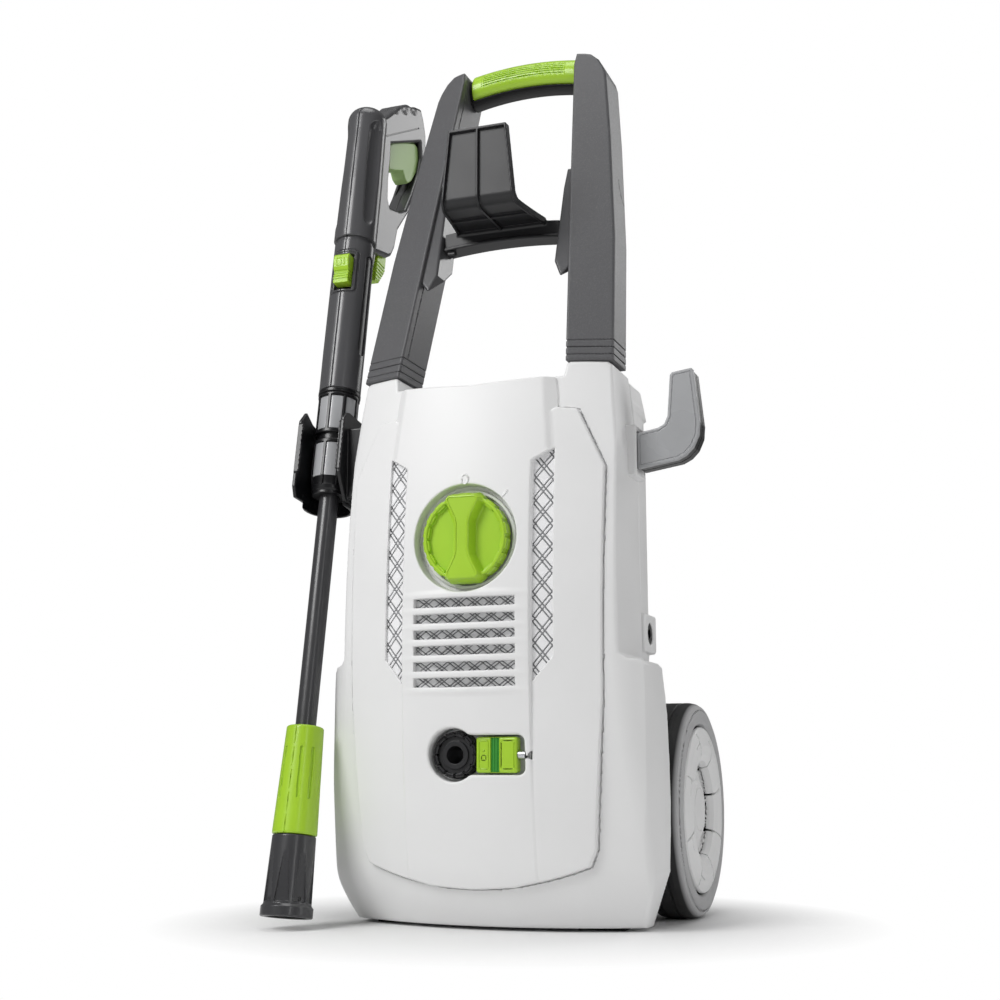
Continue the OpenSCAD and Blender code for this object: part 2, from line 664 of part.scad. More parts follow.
module nozzle_sleeve() color(lime) lance_place() translate([0, 0, sleeve_start]) difference() {
    cylinder(r1 = 20.4, r2 = 17, h = sleeve_end - sleeve_start);
    translate([0, 0, -1]) cylinder(r = tube_d / 2 + 0.02, h = 120);
    for (a = [20, 50, 130, 160, 230, 260, 310, 340]) rotate(a) translate([17.8, -1.5, 34]) cube([6, 3, 42]);
}
module nozzle_head() color(black) lance_place() translate([0, 0, nozzle_start]) difference() {
    rotate_extrude() polygon([[0, 2], [21, 2], [23.5, 0], [23.5, 8], [21.6, 10], [19.8, nozzle_len - 0.3],
        [0, nozzle_len - 0.3]]);
    for (a = [0:45:315]) rotate(a) translate([25, 0, 12]) cylinder(r1 = 6.5, r2 = 4.6, h = 44);
    translate([0, 0, 40]) cylinder(r = tube_d / 2 + 0.06, h = 60);
    translate([0, 0, -1]) cylinder(r = 18, h = 19);
    translate([0, 0, 10]) cylinder(r = 6.02, h = 31);
}
module nozzle_tip() color(brass) lance_place() translate([0, 0, nozzle_start]) difference() {
    union() {
        translate([0, 0, 10]) cylinder(r = 6, h = 28);
        translate([0, 0, 12]) cylinder(r = 9, h = 5.8, $fn = 6);
    }
    translate([0, 0, 9]) cylinder(r = 1.2, h = 40);
}

front_housing();
front_cover();
side_grilles();
vent_grille();
rear_housing();
base_plate();
rubber_feet();
handle_upright_left();
handle_upright_right();
grip_upper();
grip_lower();
hose_hanger();
hanger_pads();
cord_hook();
cord_hook_socket();
gun_clip();
cord_gland();
housing_screws();
switch_housing();
capacitor();
motor_can();
motor_end_cap();
stator_core();
motor_bearings();
pump_body();
pump_head();
pump_pistons();
piston_springs();
unloader_valve();
outlet_pipe();
outlet_coupling();
water_inlet();
wheel_axle();
axle_clips();
knob();
knob_shaft();
tyre_left();
hub_left();
hub_cap_left();
tyre_right();
hub_right();
hub_cap_right();
outlet_latch();
latch_spring();
motor_shaft();
rotor_core();
cooling_fan();
swash_plate();
gun_shell_left();
gun_shell_right();
gun_valve();
trigger();
trigger_lock();
lance_release();
lance_connector();
lance_tube();
nozzle_sleeve();
nozzle_head();
nozzle_tip();
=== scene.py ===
"""Upright electric pressure washer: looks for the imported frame, in metres."""
import json
import math
import bpy
import numpy as np
from mathutils import Matrix, Vector


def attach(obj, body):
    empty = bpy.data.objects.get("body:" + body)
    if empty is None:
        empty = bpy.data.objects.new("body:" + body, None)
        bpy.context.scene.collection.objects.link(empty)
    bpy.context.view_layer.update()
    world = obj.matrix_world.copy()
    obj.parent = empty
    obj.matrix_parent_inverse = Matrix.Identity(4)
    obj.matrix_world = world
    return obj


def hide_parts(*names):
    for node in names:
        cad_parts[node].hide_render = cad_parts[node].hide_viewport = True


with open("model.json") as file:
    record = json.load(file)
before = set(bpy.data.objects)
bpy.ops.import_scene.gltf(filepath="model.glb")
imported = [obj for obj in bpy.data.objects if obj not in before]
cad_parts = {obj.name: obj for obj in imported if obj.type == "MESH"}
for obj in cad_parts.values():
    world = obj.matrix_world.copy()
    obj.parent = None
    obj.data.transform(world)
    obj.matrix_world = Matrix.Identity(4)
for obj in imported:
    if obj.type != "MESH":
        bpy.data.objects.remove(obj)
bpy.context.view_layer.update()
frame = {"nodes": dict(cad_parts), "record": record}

MM = 0.001

# ---------------- camera and lights

scene = bpy.context.scene
camera = bpy.data.objects.new("camera", bpy.data.cameras.new("camera"))
camera.location = (0.4821, -1.3437, 0.1387)
camera.rotation_euler = (math.radians(100.33), 0, math.radians(20.44))
camera.data.sensor_width = 36
camera.data.lens = 53.2
scene.collection.objects.link(camera)
scene.camera = camera


def softbox(name, place, target, size, watts):
    data = bpy.data.lights.new(name, "AREA")
    data.shape = "RECTANGLE"
    data.size, data.size_y = size
    data.energy = watts
    lamp = bpy.data.objects.new(name, data)
    aim = (Vector(target) - Vector(place)).to_track_quat("-Z", "Y")
    lamp.matrix_world = Matrix.Translation(place) @ aim.to_matrix().to_4x4()
    scene.collection.objects.link(lamp)


softbox("key", (-1.3, -2.3, 2.1), (0, 0, 0.45), (1.3, 1.5), 62)
softbox("strip", (1.5, -1.9, 1), (0, 0, 0.5), (0.16, 1.6), 4)
softbox("side", (2.2, 0.2, 0.8), (0, 0, 0.4), (0.9, 1.3), 9)
softbox("rim", (1.2, 2.2, 1.8), (0, 0, 0.5), (1.2, 1.2), 12)
softbox("top", (0, -0.3, 2.6), (0, 0, 0.4), (1.2, 1.2), 14)

# The room gives an even dim light, while the camera sees it white
ROOM_LIGHT = 0.16
scene.view_settings.view_transform = "Standard"
world = bpy.data.worlds.new("studio")
world.use_nodes = True
tree = world.node_tree
room = tree.nodes["Background"]
seen = tree.nodes.new("ShaderNodeBackground")
path = tree.nodes.new("ShaderNodeLightPath")
room.inputs[0].default_value = seen.inputs[0].default_value = (1, 1, 1, 1)
room.inputs[1].default_value = ROOM_LIGHT
seen.inputs[1].default_value = 1.0
mix = tree.nodes.new("ShaderNodeMixShader")
tree.links.new(path.outputs["Is Camera Ray"], mix.inputs[0])
tree.links.new(room.outputs[0], mix.inputs[1])
tree.links.new(seen.outputs[0], mix.inputs[2])
tree.links.new(mix.outputs[0], tree.nodes["World Output"].inputs["Surface"])
scene.world = world

# ---------------- materials


class Nodes:
    """A short way to write a node material."""

    def __init__(self, name):
        self.mat = bpy.data.materials.new(name)
        self.mat.use_nodes = True
        self.tree = self.mat.node_tree
        self.link = self.tree.links.new
        self.bsdf = self.tree.nodes["Principled BSDF"]
        self.coords = self.tree.nodes.new("ShaderNodeTexCoord").outputs["Object"]

    def node(self, kind, **values):
        made = self.tree.nodes.new("ShaderNode" + kind)
        for key, value in values.items():
            if key in made.inputs:
                made.inputs[key].default_value = value
            else:
                setattr(made, key, value)
        return made

    def noise(self, scale, detail=2.0, rough=0.5, stretch=None):
        made = self.node("TexNoise", Scale=scale, Detail=detail, Roughness=rough)
        source = self.coords
        if stretch:
            mapping = self.node("Mapping", Scale=stretch)
            self.link(source, mapping.inputs["Vector"])
            source = mapping.outputs["Vector"]
        self.link(source, made.inputs["Vector"])
        return made.outputs["Fac"]

    def ramp(self, source, stops):
        made = self.node("ValToRGB")
        elements = made.color_ramp.elements
        while len(elements) < len(stops):
            elements.new(0.5)
        for element, (place, colour) in zip(elements, stops):
            element.position = place
            element.color = (*colour, 1)
        self.link(source, made.inputs["Fac"])
        return made.outputs["Color"]

    def span(self, source, low, high, at=(0.3, 0.7)):
        made = self.node("MapRange")
        for key, value in (("From Min", at[0]), ("From Max", at[1]), ("To Min", low), ("To Max", high)):
            made.inputs[key].default_value = value
        self.link(source, made.inputs["Value"])
        return made.outputs["Result"]

    def bump(self, source, distance):
        made = self.node("Bump", Strength=1.0, Distance=distance)
        self.link(source, made.inputs["Height"])
        self.link(made.outputs["Normal"], self.bsdf.inputs["Normal"])

    def set(self, name, source):
        if isinstance(source, (int, float, tuple)):
            self.bsdf.inputs[name].default_value = source
        else:
            self.link(source, self.bsdf.inputs[name])


def srgb(r, g, b):
    return tuple(((c / 255 + 0.055) / 1.055) ** 2.4 if c > 10 else c / 255 / 12.92 for c in (r, g, b))


def shade(colour, factor):
    return tuple(min(1.0, c * factor) for c in colour)


def plastic(name, colour, rough=0.4, grain=900, depth=0.00003, vary=0.03, coat=0.0):
    """Moulded plastic with a fine grain and faint clouding."""
    n = Nodes(name)
    clouds = n.noise(14, 3)
    fine = n.noise(grain, 2)
    base = n.ramp(clouds, [(0.3, shade(colour, 1 - vary)), (0.7, shade(colour, 1 + vary))])
    n.set("Base Color", base)
    n.set("Roughness", n.span(clouds, rough * 0.92, rough * 1.08))
    n.bump(fine, depth)
    n.set("Specular IOR Level", 0.45)
    if coat:
        n.set("Coat Weight", coat)
        n.set("Coat Roughness", 0.15)
    return n.mat


def speckled(name, colour, fleck, rough=0.42):
    """Dark plastic with metallic flakes in it."""
    n = Nodes(name)
    flakes = n.node("TexVoronoi", Scale=1500.0)
    n.link(n.coords, flakes.inputs["Vector"])
    spread = n.noise(700, 2)
    n.set("Base Color", n.ramp(flakes.outputs["Distance"],
          [(0.0, fleck), (0.16, shade(colour, 1.5)), (0.34, colour), (1.0, shade(colour, 0.85))]))
    n.set("Roughness", n.span(spread, rough * 0.85, rough * 1.15))
    n.set("Specular IOR Level", 0.5)
    n.bump(spread, 0.00003)
    return n.mat


def metal(name, colour, rough=0.3, stretch=(1, 1, 12)):
    """Turned or drawn metal: fine lines one way, and faint clouding."""
    n = Nodes(name)
    lines = n.noise(260, 3, 0.6, stretch)
    clouds = n.noise(24, 3)
    n.set("Base Color", n.ramp(clouds, [(0.3, shade(colour, 0.88)), (0.7, shade(colour, 1.08))]))
    n.set("Metallic", 1)
    n.set("Roughness", n.span(lines, rough * 0.75, rough * 1.3))
    n.bump(lines, 0.00002)
    return n.mat


def rubber(name, colour, rough=0.62):
    n = Nodes(name)
    clouds = n.noise(30, 4)
    fine = n.noise(1400, 3)
    n.set("Base Color", n.ramp(clouds, [(0.3, shade(colour, 0.93)), (0.7, shade(colour, 1.07))]))
    n.set("Roughness", n.span(fine, rough * 0.9, rough * 1.12))
    n.bump(fine, 0.00005)
    n.set("Specular IOR Level", 0.35)
    return n.mat


def tyre_rubber(name, tread, wall, turns, rough=0.55):
    """Rubber that turns from one tone to another between two distances from the middle plane. On the tyre the
    dark tone is partly the tyre's own black and partly painted shade, and the pale tone is partly painted
    light.
    """
    n = Nodes(name)
    axes = n.node("SeparateXYZ")
    n.link(n.coords, axes.inputs[0])
    across = n.node("Math", operation="ABSOLUTE")
    n.link(axes.outputs[0], across.inputs[0])
    fine = n.noise(1400, 3)
    tone = n.span(across.outputs[0], 0.0, 1.0, turns)
    n.set("Base Color", n.ramp(tone, [(0.0, tread), (1.0, wall)]))
    n.set("Roughness", n.span(fine, rough * 0.9, rough * 1.12))
    n.bump(fine, 0.00005)
    return n.mat


WHITE = plastic("white_plastic", srgb(232, 232, 232), 0.42, vary=0.012)
# Lattice white, a little lighter than the body white: painted light against the shade that louvres and window
# edges cast on the lattices
WHITE_LATTICE_LIT = plastic("white_lattice_painted_light", srgb(238, 238, 239), 0.5, vary=0.02)
LIME = plastic("lime_plastic", srgb(166, 208, 46), 0.33, grain=1100, vary=0.05, coat=0.25)
LIME_PALE = plastic("pale_lime_plastic", srgb(158, 190, 120), 0.4, grain=1100, vary=0.04)
LIME_DARK = plastic("green_plastic", srgb(48, 140, 44), 0.38, grain=1100, vary=0.05)
BLACK = plastic("black_plastic", srgb(20, 20, 22), 0.3, grain=700, depth=0.00005, vary=0.08)
GUN = plastic("gun_plastic", srgb(80, 80, 82), 0.24, grain=800, vary=0.05, coat=0.25)
# Light grey of the connector's inset panels: painted reflection of the bright room on dark plastic
BAYONET_REFLECTION = plastic("bayonet_painted_reflection", srgb(168, 169, 171), 0.24, grain=800, vary=0.05, coat=0.3)
# Grey of the sheets behind the lattices: painted shade, seen through the cut lines as dark grooves
PAINTED_SHADE_GREY = plastic("painted_shade_grey", srgb(142, 143, 145), 0.4, vary=0.03)
SILVER = plastic("silver_plastic", srgb(160, 161, 163), 0.28, vary=0.03, coat=0.3)
HANGER = plastic("hanger_plastic", srgb(30, 30, 32), 0.42, grain=700, vary=0.06)
# Tyre: black tread and inner side, pale grey outer face. This is partly the tyre's own two tones, partly
# painted shade on the tread and painted light on the outer face
TYRE = tyre_rubber("tyre_rubber", srgb(30, 30, 31), srgb(176, 176, 177), (0.1535, 0.157))
FOOT = rubber("foot_rubber", srgb(30, 30, 30))
GRAPHITE = speckled("graphite_speckle", srgb(88, 88, 90), srgb(205, 205, 208))
TUBE = plastic("tube_paint", srgb(58, 58, 60), 0.3, grain=1600, vary=0.04, coat=0.3)
STEEL = metal("steel", (0.6, 0.61, 0.63))
ALU = metal("cast_aluminium", (0.72, 0.73, 0.74), 0.45, (1, 1, 1))
COPPER = metal("copper", (0.72, 0.38, 0.2), 0.35, (1, 1, 30))
BRASS = metal("brass", (0.76, 0.58, 0.28), 0.28, (8, 1, 1))

# ---------------- shapes as distance fields, in mm


def box(p, low, high, r=0.0):
    q = [abs(c - (a + b) / 2) - (b - a) / 2 + r for c, a, b in zip(p, low, high)]
    out = np.sqrt(sum(np.maximum(c, 0) ** 2 for c in q))
    return out + np.minimum(np.maximum(np.maximum(q[0], q[1]), q[2]), 0) - r


def rect(u, v, low, high, r):
    return box([u, v, u * 0], (*low, -9), (*high, 9), r)


def slab(c, low, high):
    return abs(c - (low + high) / 2) - (high - low) / 2


def cut(a, b, r=0.0):
    """Both a and b, with a rounded edge."""
    if np.ndim(r) == 0 and r <= 0:
        return np.maximum(a, b)
    return np.minimum(np.maximum(a, b), -r) + np.hypot(np.maximum(a + r, 0), np.maximum(b + r, 0))


def join(a, b, r=0.0):
    """Either a or b, with a rounded inner corner."""
    if r <= 0:
        return np.minimum(a, b)
    return np.maximum(np.minimum(a, b), r) - np.hypot(np.maximum(r - a, 0), np.maximum(r - b, 0))


def less(a, b, r=0.0):
    return cut(a, -b, r)


def engrave(d, mask, depth):
    """Sink the surface by depth where the mask is negative."""
    return np.maximum(d, -np.maximum(mask, -(d + depth)))


def emboss(d, mask, height):
    """Raise the surface by height where the mask is negative."""
    return np.minimum(d, np.maximum(mask, d - height))


def polygon(u, v, points):
    """Signed distance to a closed outline."""
    pts = np.asarray(points, np.float32)
    best = np.full(u.shape, 1e9, np.float32)
    inside = np.zeros(u.shape, bool)
    for (x0, y0), (x1, y1) in zip(pts, np.roll(pts, -1, 0)):
        ex, ey = x1 - x0, y1 - y0
        wx, wy = u - x0, v - y0
        t = np.clip((wx * ex + wy * ey) / (ex * ex + ey * ey), 0, 1)
        best = np.minimum(best, (wx - ex * t) ** 2 + (wy - ey * t) ** 2)
        if y0 != y1:
            inside ^= ((v >= y0) != (v >= y1)) & (wx * ey < wy * ex if y1 > y0 else wx * ey > wy * ex)
    return np.where(inside, -np.sqrt(best), np.sqrt(best))


def mirrored(points):
    """A half outline from the top middle, down the right side, made whole."""
    return list(points) + [(-x, y) for x, y in reversed(points) if x > 0]


def wave(c, pitch):
    """Distance to the nearest of a row of places, pitch apart."""
    return abs((c / pitch + 0.5) % 1 - 0.5) * pitch


def around(a, b, n, turn=0.0):
    """Polar repeat: the same point in the first of n sectors, and its radius."""
    rho = np.hypot(a, b)
    step = 2 * math.pi / n
    ang = (np.arctan2(b, a) - turn + step / 2) % step - step / 2
    return rho * np.cos(ang), rho * np.sin(ang), rho


BATCH = 4000


def field_grid(fn, low, high, h):
    """Values on a dense grid, worked out only in blocks near the surface."""
    size = 8
    count = [int(math.ceil((b - a) / h / size)) + 1 for a, b in zip(low, high)]
    centre = [a + h * (size * np.arange(n) + (size - 1) / 2) for a, n in zip(low, count)]
    mid = fn([c.astype(np.float32) for c in np.meshgrid(*centre, indexing="ij")])
    reach = h * size * 0.87 * 1.35 + h
    blocks = np.nonzero(abs(mid) < reach)
    grid = np.repeat(np.repeat(np.repeat(np.where(mid < 0, -reach, reach).astype(np.float32),
                                         size, 0), size, 1), size, 2)
    tall = grid.reshape(count[0], size, count[1], size, count[2], size)
    steps = np.ix_(*[np.arange(size)] * 3)
    for start in range(0, len(blocks[0]), BATCH):
        bx, by, bz = (b[start:start + BATCH] for b in blocks)
        p = np.broadcast_arrays(*(a + h * (size * b[:, None, None, None] + c)
                                  for a, b, c in zip(low, (bx, by, bz), steps)))
        tall[bx, :, by, :, bz, :] = fn([c.astype(np.float32) for c in p])
    return grid


def gradient(fn, p, eps):
    out = []
    for axis in range(3):
        a, b = list(p), list(p)
        a[axis], b[axis] = a[axis] + eps, b[axis] - eps
        out.append(fn(a) - fn(b))
    out = np.stack(out, -1)
    return out / np.maximum(np.linalg.norm(out, axis=-1, keepdims=True), 1e-9)


CORNERS = [(i, j, k) for i in (0, 1) for j in (0, 1) for k in (0, 1)]
EDGES = [(a, b) for a in CORNERS for b in CORNERS if sum(b) - sum(a) == 1
         and all(y >= x for x, y in zip(a, b))]


def surface_net(grid, low, h):
    """One vertex in each cell that the surface crosses, and one face across each crossed edge."""
    inside = grid < 0
    views = [inside[i:inside.shape[0] - 1 + i, j:inside.shape[1] - 1 + j, k:inside.shape[2] - 1 + k]
             for i, j, k in CORNERS]
    cells = np.nonzero(np.logical_or.reduce(views) & ~np.logical_and.reduce(views))
    number = np.full(views[0].shape, -1, np.int32)
    number[cells] = np.arange(len(cells[0]))
    total = np.zeros((len(cells[0]), 3), np.float32)
    hits = np.zeros(len(cells[0]), np.float32)
    for a, b in EDGES:
        va = grid[cells[0] + a[0], cells[1] + a[1], cells[2] + a[2]]
        vb = grid[cells[0] + b[0], cells[1] + b[1], cells[2] + b[2]]
        crossed = (va < 0) != (vb < 0)
        t = np.where(crossed, va / np.where(crossed, va - vb, 1), 0)
        for axis in range(3):
            total[:, axis] += np.where(crossed, a[axis] + (b[axis] - a[axis]) * t, 0)
        hits += crossed
    verts = (np.stack(cells, -1) + total / hits[:, None]) * h + np.asarray(low)
    faces = []
    for axis in range(3):
        u, v = [i for i in range(3) if i != axis]
        trim = [slice(1, -1)] * 3
        first, second = list(trim), list(trim)
        first[axis], second[axis] = slice(0, -1), slice(1, None)
        a, b = inside[tuple(first)], inside[tuple(second)]
        for sign, pick in ((1, a & ~b), (-1, ~a & b)):
            at = np.nonzero(pick)
            quad = []
            for du, dv in ((0, 0), (1, 0), (1, 1), (0, 1)):
                spot = list(at)
                spot[u], spot[v] = spot[u] + du, spot[v] + dv
                quad.append(number[tuple(spot)])
            quad = np.stack(quad, -1)
            faces.append(quad if (sign > 0) == (axis != 1) else quad[:, ::-1])
    return verts, np.concatenate(faces)


def carve(name, fn, low, high, h, place, keep):
    """A mesh object of a distance field, thinned to about `keep` faces, with exact normals."""
    verts, faces = surface_net(field_grid(fn, low, high, h), low, h)
    for _ in range(2):
        p = [verts[:, i].astype(np.float32) for i in range(3)]
        push = np.clip(fn(p), -h, h)[:, None] * gradient(fn, p, 0.15 * h)
        verts = verts - 0.9 * push
    mesh = bpy.data.meshes.new(name)
    mesh.vertices.add(len(verts))
    mesh.vertices.foreach_set("co", verts.astype(np.float32).ravel())
    mesh.loops.add(faces.size)
    mesh.loops.foreach_set("vertex_index", faces.astype(np.int32).ravel())
    mesh.polygons.add(len(faces))
    mesh.polygons.foreach_set("loop_start", np.arange(0, faces.size, 4, dtype=np.int32))
    mesh.update(calc_edges=True)
    mesh.validate()
    obj = bpy.data.objects.new(name, mesh)
    scene.collection.objects.link(obj)
    if len(faces) > keep:
        thin = obj.modifiers.new("thin", "DECIMATE")
        thin.ratio = keep / len(faces)
        done = bpy.data.meshes.new_from_object(obj.evaluated_get(bpy.context.evaluated_depsgraph_get()))
        obj.modifiers.clear()
        obj.data = mesh = done
        mesh.name = name
    co = np.empty(len(mesh.vertices) * 3, np.float32)
    mesh.vertices.foreach_get("co", co)
    co = co.reshape(-1, 3)
    normals = gradient(fn, [co[:, i] for i in range(3)], 0.2 * h)
    turn = np.eye(4) if place is None else np.array(place)
    co = (co @ turn[:3, :3].T + turn[:3, 3]) * MM
    mesh.vertices.foreach_set("co", co.astype(np.float32).ravel())
    mesh.polygons.foreach_set("use_smooth", np.ones(len(mesh.polygons), bool))
    mesh.update()
    mesh.normals_split_custom_set_from_vertices((normals @ turn[:3, :3].T).tolist())
    return obj


def piece(name, fn, low, high, h, body, material, slot, *nodes, place=None, keep=60000):
    """Carve a shape, give it its body and material, and hide the CAD nodes that it stands for; the slot is
    not used.
    """
    obj = carve(name, fn, low, high, h, place, keep)
    obj.data.materials.clear()
    obj.data.materials.append(material)
    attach(obj, body)
    if nodes:
        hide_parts(*nodes)


# ---------------- driving places, in mm

SIDES = ((-1, "left"), (1, "right"))
WALL = 4.6
SEAM_Y = -32
KNOB_Z = 341
OUTLET_X, OUTLET_Z = -11, 151
SPRING_Y = -130.5
AXLE_Y, AXLE_Z = 78, 101
WHEEL_X = 116
INLET_X, INLET_Z = -20, 130
CORD_Y, CORD_Z = -8, 262.5
VENT_PITCH = 14
# The generic dial marks: a ring above the knob and a bar beside it
RING_Z = 394
BAR_X, BAR_Z = 37.5, 378.5

# ---------------- the curved front

FORM_Y = 184.0
FORM_RADIUS = 330
BULGE_Z, BULGE = 270, 2520
TOE_Z, TOE_BEND = 57, 0.0062


def front_radius(z):
    toe = np.where(z < TOE_Z, TOE_BEND * (TOE_Z - z) ** 2, 0)
    return FORM_RADIUS - (z - BULGE_Z) ** 2 / BULGE - toe


def front(p, drop=0.0):
    """Distance to the body of revolution behind the curved front."""
    x, y, z = p
    slope = np.where(z < TOE_Z, -2 * TOE_BEND * (TOE_Z - z), 0) + (z - BULGE_Z) / (BULGE / 2)
    return (np.hypot(x, y - FORM_Y) - front_radius(z) + drop) / np.sqrt(1 + slope ** 2)


def housing_drop(z):
    return 6 + np.where(z > 230, 4 * ((z - 230) / 275) ** 2, 0)


BASE_ARC = [(x, 37 + 20 * (x / 103) ** 2) for x in (103, 92, 78, 65, 52, 39, 26, 13)] + [(0, 37)]
WING = mirrored([(0, 400), (79.3, 459), (97, 457), (121, 404), (118.5, 200), (113.5, 130), (109, 71)]
                + BASE_ARC)
SPINE = mirrored([(0, 483.5), (76, 488.5), (79.2, 470), (79.2, 418.5), (60, 408), (60, 45), (40, 39),
                  (0, 37)])
WINDOW = [(61, 409.5), (79.1, 420), (79.1, 235), (61, 213.5)]


def cover_field(p):
    x, y, z = p
    ax = abs(x)
    # The spine stands proud of the wings, less and less towards the toe
    proud = 3.2 * np.clip((z - 110) / 90, 0, 1) + 0.25
    spine = cut(front(p), polygon(x, z, SPINE), 1.6)
    bevel = np.interp(z, [408, 420, 484], [0, 6.5, 12])
    spine = cut(spine, (0.7 * (ax - 79.2 + bevel) + front(p)) * 0.82, 1)
    wing = cut(front(p, proud), polygon(x, z, WING), 1.3)
    shell = join(spine, wing, 1.2)
    shell = less(shell, front(p, np.where((z > 404) & (ax < 80), 14.0, housing_drop(z) + 1.2)))
    # Cup of the knob, and the box of the outlet, behind the skin
    knob = np.hypot(x, z - KNOB_Z)
    hole = np.hypot(x - OUTLET_X, z - OUTLET_Z)
    slot = cut(slab(x, OUTLET_X, 54), slab(z, OUTLET_Z - 17, OUTLET_Z + 17))
    rounded = np.hypot(np.maximum(x - 48, 0), np.maximum(abs(z - OUTLET_Z) - 11, 0)) - 6
    slot = np.where(x > 40, rounded, slot)
    pocket = join(hole - 23, slot, 1.5)
    backs = join(cut(knob - 51.5, slab(y, -140, -119.5)), cut(pocket - 3, slab(y, -137, -118)))
    shell = join(shell, cut(backs, front(p, 0.6)))
    # The lens-shaped louvres between the slots
    for i in range(7):
        mid = 206.2 + VENT_PITCH * i
        lens = np.sqrt((x / 50) ** 2 + ((z - mid) / 3.4) ** 2 + ((front(p) + 0.2) / 1.5) ** 2)
        shell = join(shell, (lens - 1) * 1.4, 1)
    for i in range(6):
        mid = 213.25 + VENT_PITCH * i
        gap = cut(slab(x, -47.5, 47.5), slab(z, mid - 4.0 + 0.5 * (x / 47.5) ** 2, mid + 4.25))
        shell = less(shell, cut(gap, slab(y, -160, -120)), 0.9)
    shell = less(shell, cut(knob - 48.5, slab(y, -170, -127)), 1.4)
    shell = less(shell, cut(knob - 44.2, slab(y, -170, -123.6)), 0.6)
    shell = join(shell, cut(cut(41.6 - knob, knob - 44.6), slab(y, -130.5, -122)), 0.4)
    shell = less(shell, cut(knob - 6.4, slab(y, -130, -100)))
    shell = less(shell, cut(pocket, slab(y, -170, -122)), 2.6)
    shell = less(shell, cut(hole - 20.5, slab(y, -130, -100)))
    # Seat of the latch spring
    shell = less(shell, cut(np.hypot(y - SPRING_Y, z - OUTLET_Z) - 4.6, slab(x, 48, 60)))
    for side in (x, -x):
        shell = less(shell, cut(polygon(side, z, WINDOW), front(p, -9)), 0.8)
    # Generic dial marks
    skin = abs(front(p, -0.1)) - 0.65
    ring = abs(np.hypot(x / 0.72, z - RING_Z) - 4.4) - 0.75
    # The bar leans 40 degrees
    cosine, sine = 0.766, 0.643
    u = (x - BAR_X) * cosine - (z - BAR_Z) * sine
    v = (x - BAR_X) * sine + (z - BAR_Z) * cosine
    bar = cut(slab(u, -0.8, 0.8), slab(v, -4.6, 4.6))
    return join(shell, cut(join(ring, bar), skin, 0.3), 0.3)


piece("front_cover_shell", cover_field, (-123, -150, 34), (123, -86, 492), 1.05,
      "housing", WHITE, "cover", "front_cover", keep=88000)

OUTLINE = mirrored([(0, 484), (82, 491), (84, 503), (87, 505), (119, 505), (123, 502), (130, 424),
                    (131.5, 250), (132, 238), (136, 234), (146, 233), (150, 229), (152.5, 205),
                    (154.5, 180), (157, 110), (154, 50), (138, 3), (0, 3)])
OPENING = mirrored([(0, 440), (90, 440), (100, 400), (100, 90), (0, 70)])
PLAN = mirrored([(0, -200), (110, -200), (129, -118), (149.5, -91), (156, -50), (158, 40), (0, 40)])


def upright_socket(p):
    return box([abs(p[0]), p[1], p[2]], (87.6, -84.4, 459.6), (116.4, -53.6, 530))


def housing_field(p):
    x, y, z = p
    body = cut(front(p, housing_drop(z)), polygon(x, y, PLAN), 5)
    body = cut(body, polygon(x, z, OUTLINE), 3)
    inner = body + WALL
    body = cut(body, y - SEAM_Y)
    body = less(body, cut(inner, y - (SEAM_Y + 1)))
    # Groove around the wings of the cover
    body = engrave(body, cut(abs(polygon(x, z, WING)) - 1.1, y + 70), 1.6)
    body = less(body, cut(polygon(x, z, OPENING), y + 70))
    return less(body, upright_socket(p))


piece("front_shell", housing_field, (-160, -146, 1), (160, -30, 507), 1.25,
      "housing", WHITE, "housing", "front_housing", keep=95000)

# ---------------- rear of the housing, grilles

REAR_SIDE = [(-32, 8), (-32, 486), (40, 486), (58, 470), (72, 240), (94, 205), (97, 24), (88, 8)]
REAR_FRONT = mirrored([(0, 486), (122, 486), (125.5, 480), (130, 424), (131, 239), (112, 205), (112, 8),
                       (0, 8)])
REAR_PLAN = mirrored([(0, -60), (140, -60), (131, 0), (117, 36), (98, 72), (98, 110), (0, 110)])
COLUMN_TOP = [(85, 470), (85, 503), (119, 502), (124, 497), (126, 470)]
COLUMN_SIDE = [(-32, 470), (-32, 502), (6, 502), (16, 486), (24, 470)]
SCREWS = ((84, 262), (78, 440), (88, 190), (78, 40))


def rear_y(z):
    return 72 - (z - 240) * 14 / 230 if z > 240 else 96


def rear_field(p):
    x, y, z = p
    ax = abs(x)
    plan = join(cut(slab(z, -60, 205), ax - 120), polygon(x, y, REAR_PLAN))
    solid = cut(cut(polygon(x, z, REAR_FRONT), polygon(y, z, REAR_SIDE), 5), plan, 5)
    hollow = solid + WALL
    solid = join(solid, cut(polygon(ax, z, COLUMN_TOP), polygon(y, z, COLUMN_SIDE), 3), 1.5)
    shell = less(solid, cut(hollow, slab(z, -60, 480)))
    shell = less(shell, cut(slab(z, -40, 11), solid + WALL))
    # Boss and bore of the cord gland
    boss = box(p, (126, CORD_Y - 21, CORD_Z - 18), (134, CORD_Y + 21, CORD_Z + 18), 3)
    shell = join(shell, boss, 0.8)
    shell = less(shell, cut(np.hypot(y - CORD_Y, z - CORD_Z) - 10.2, slab(x, 100, 160)), 1.2)
    for sx, sz in SCREWS:
        shell = less(shell, cut(np.hypot(ax - sx, z - sz) - 4.6, rear_y(sz) - y - 3), 0.8)
    slots = cut(cut(slab(wave(z - 283, 16), -3, 3), slab(z, 270, 402)), slab(x, -60, 60), 2.5)
    shell = less(shell, cut(slots, slab(y, 40, 100)), 1.2)
    shell = less(shell, cut(np.hypot(x - INLET_X, z - INLET_Z) - 14.2, slab(y, 60, 120)), 1.5)
    shell = less(shell, np.hypot(y - AXLE_Y, z - AXLE_Z) - 7)
    return less(shell, upright_socket(p))


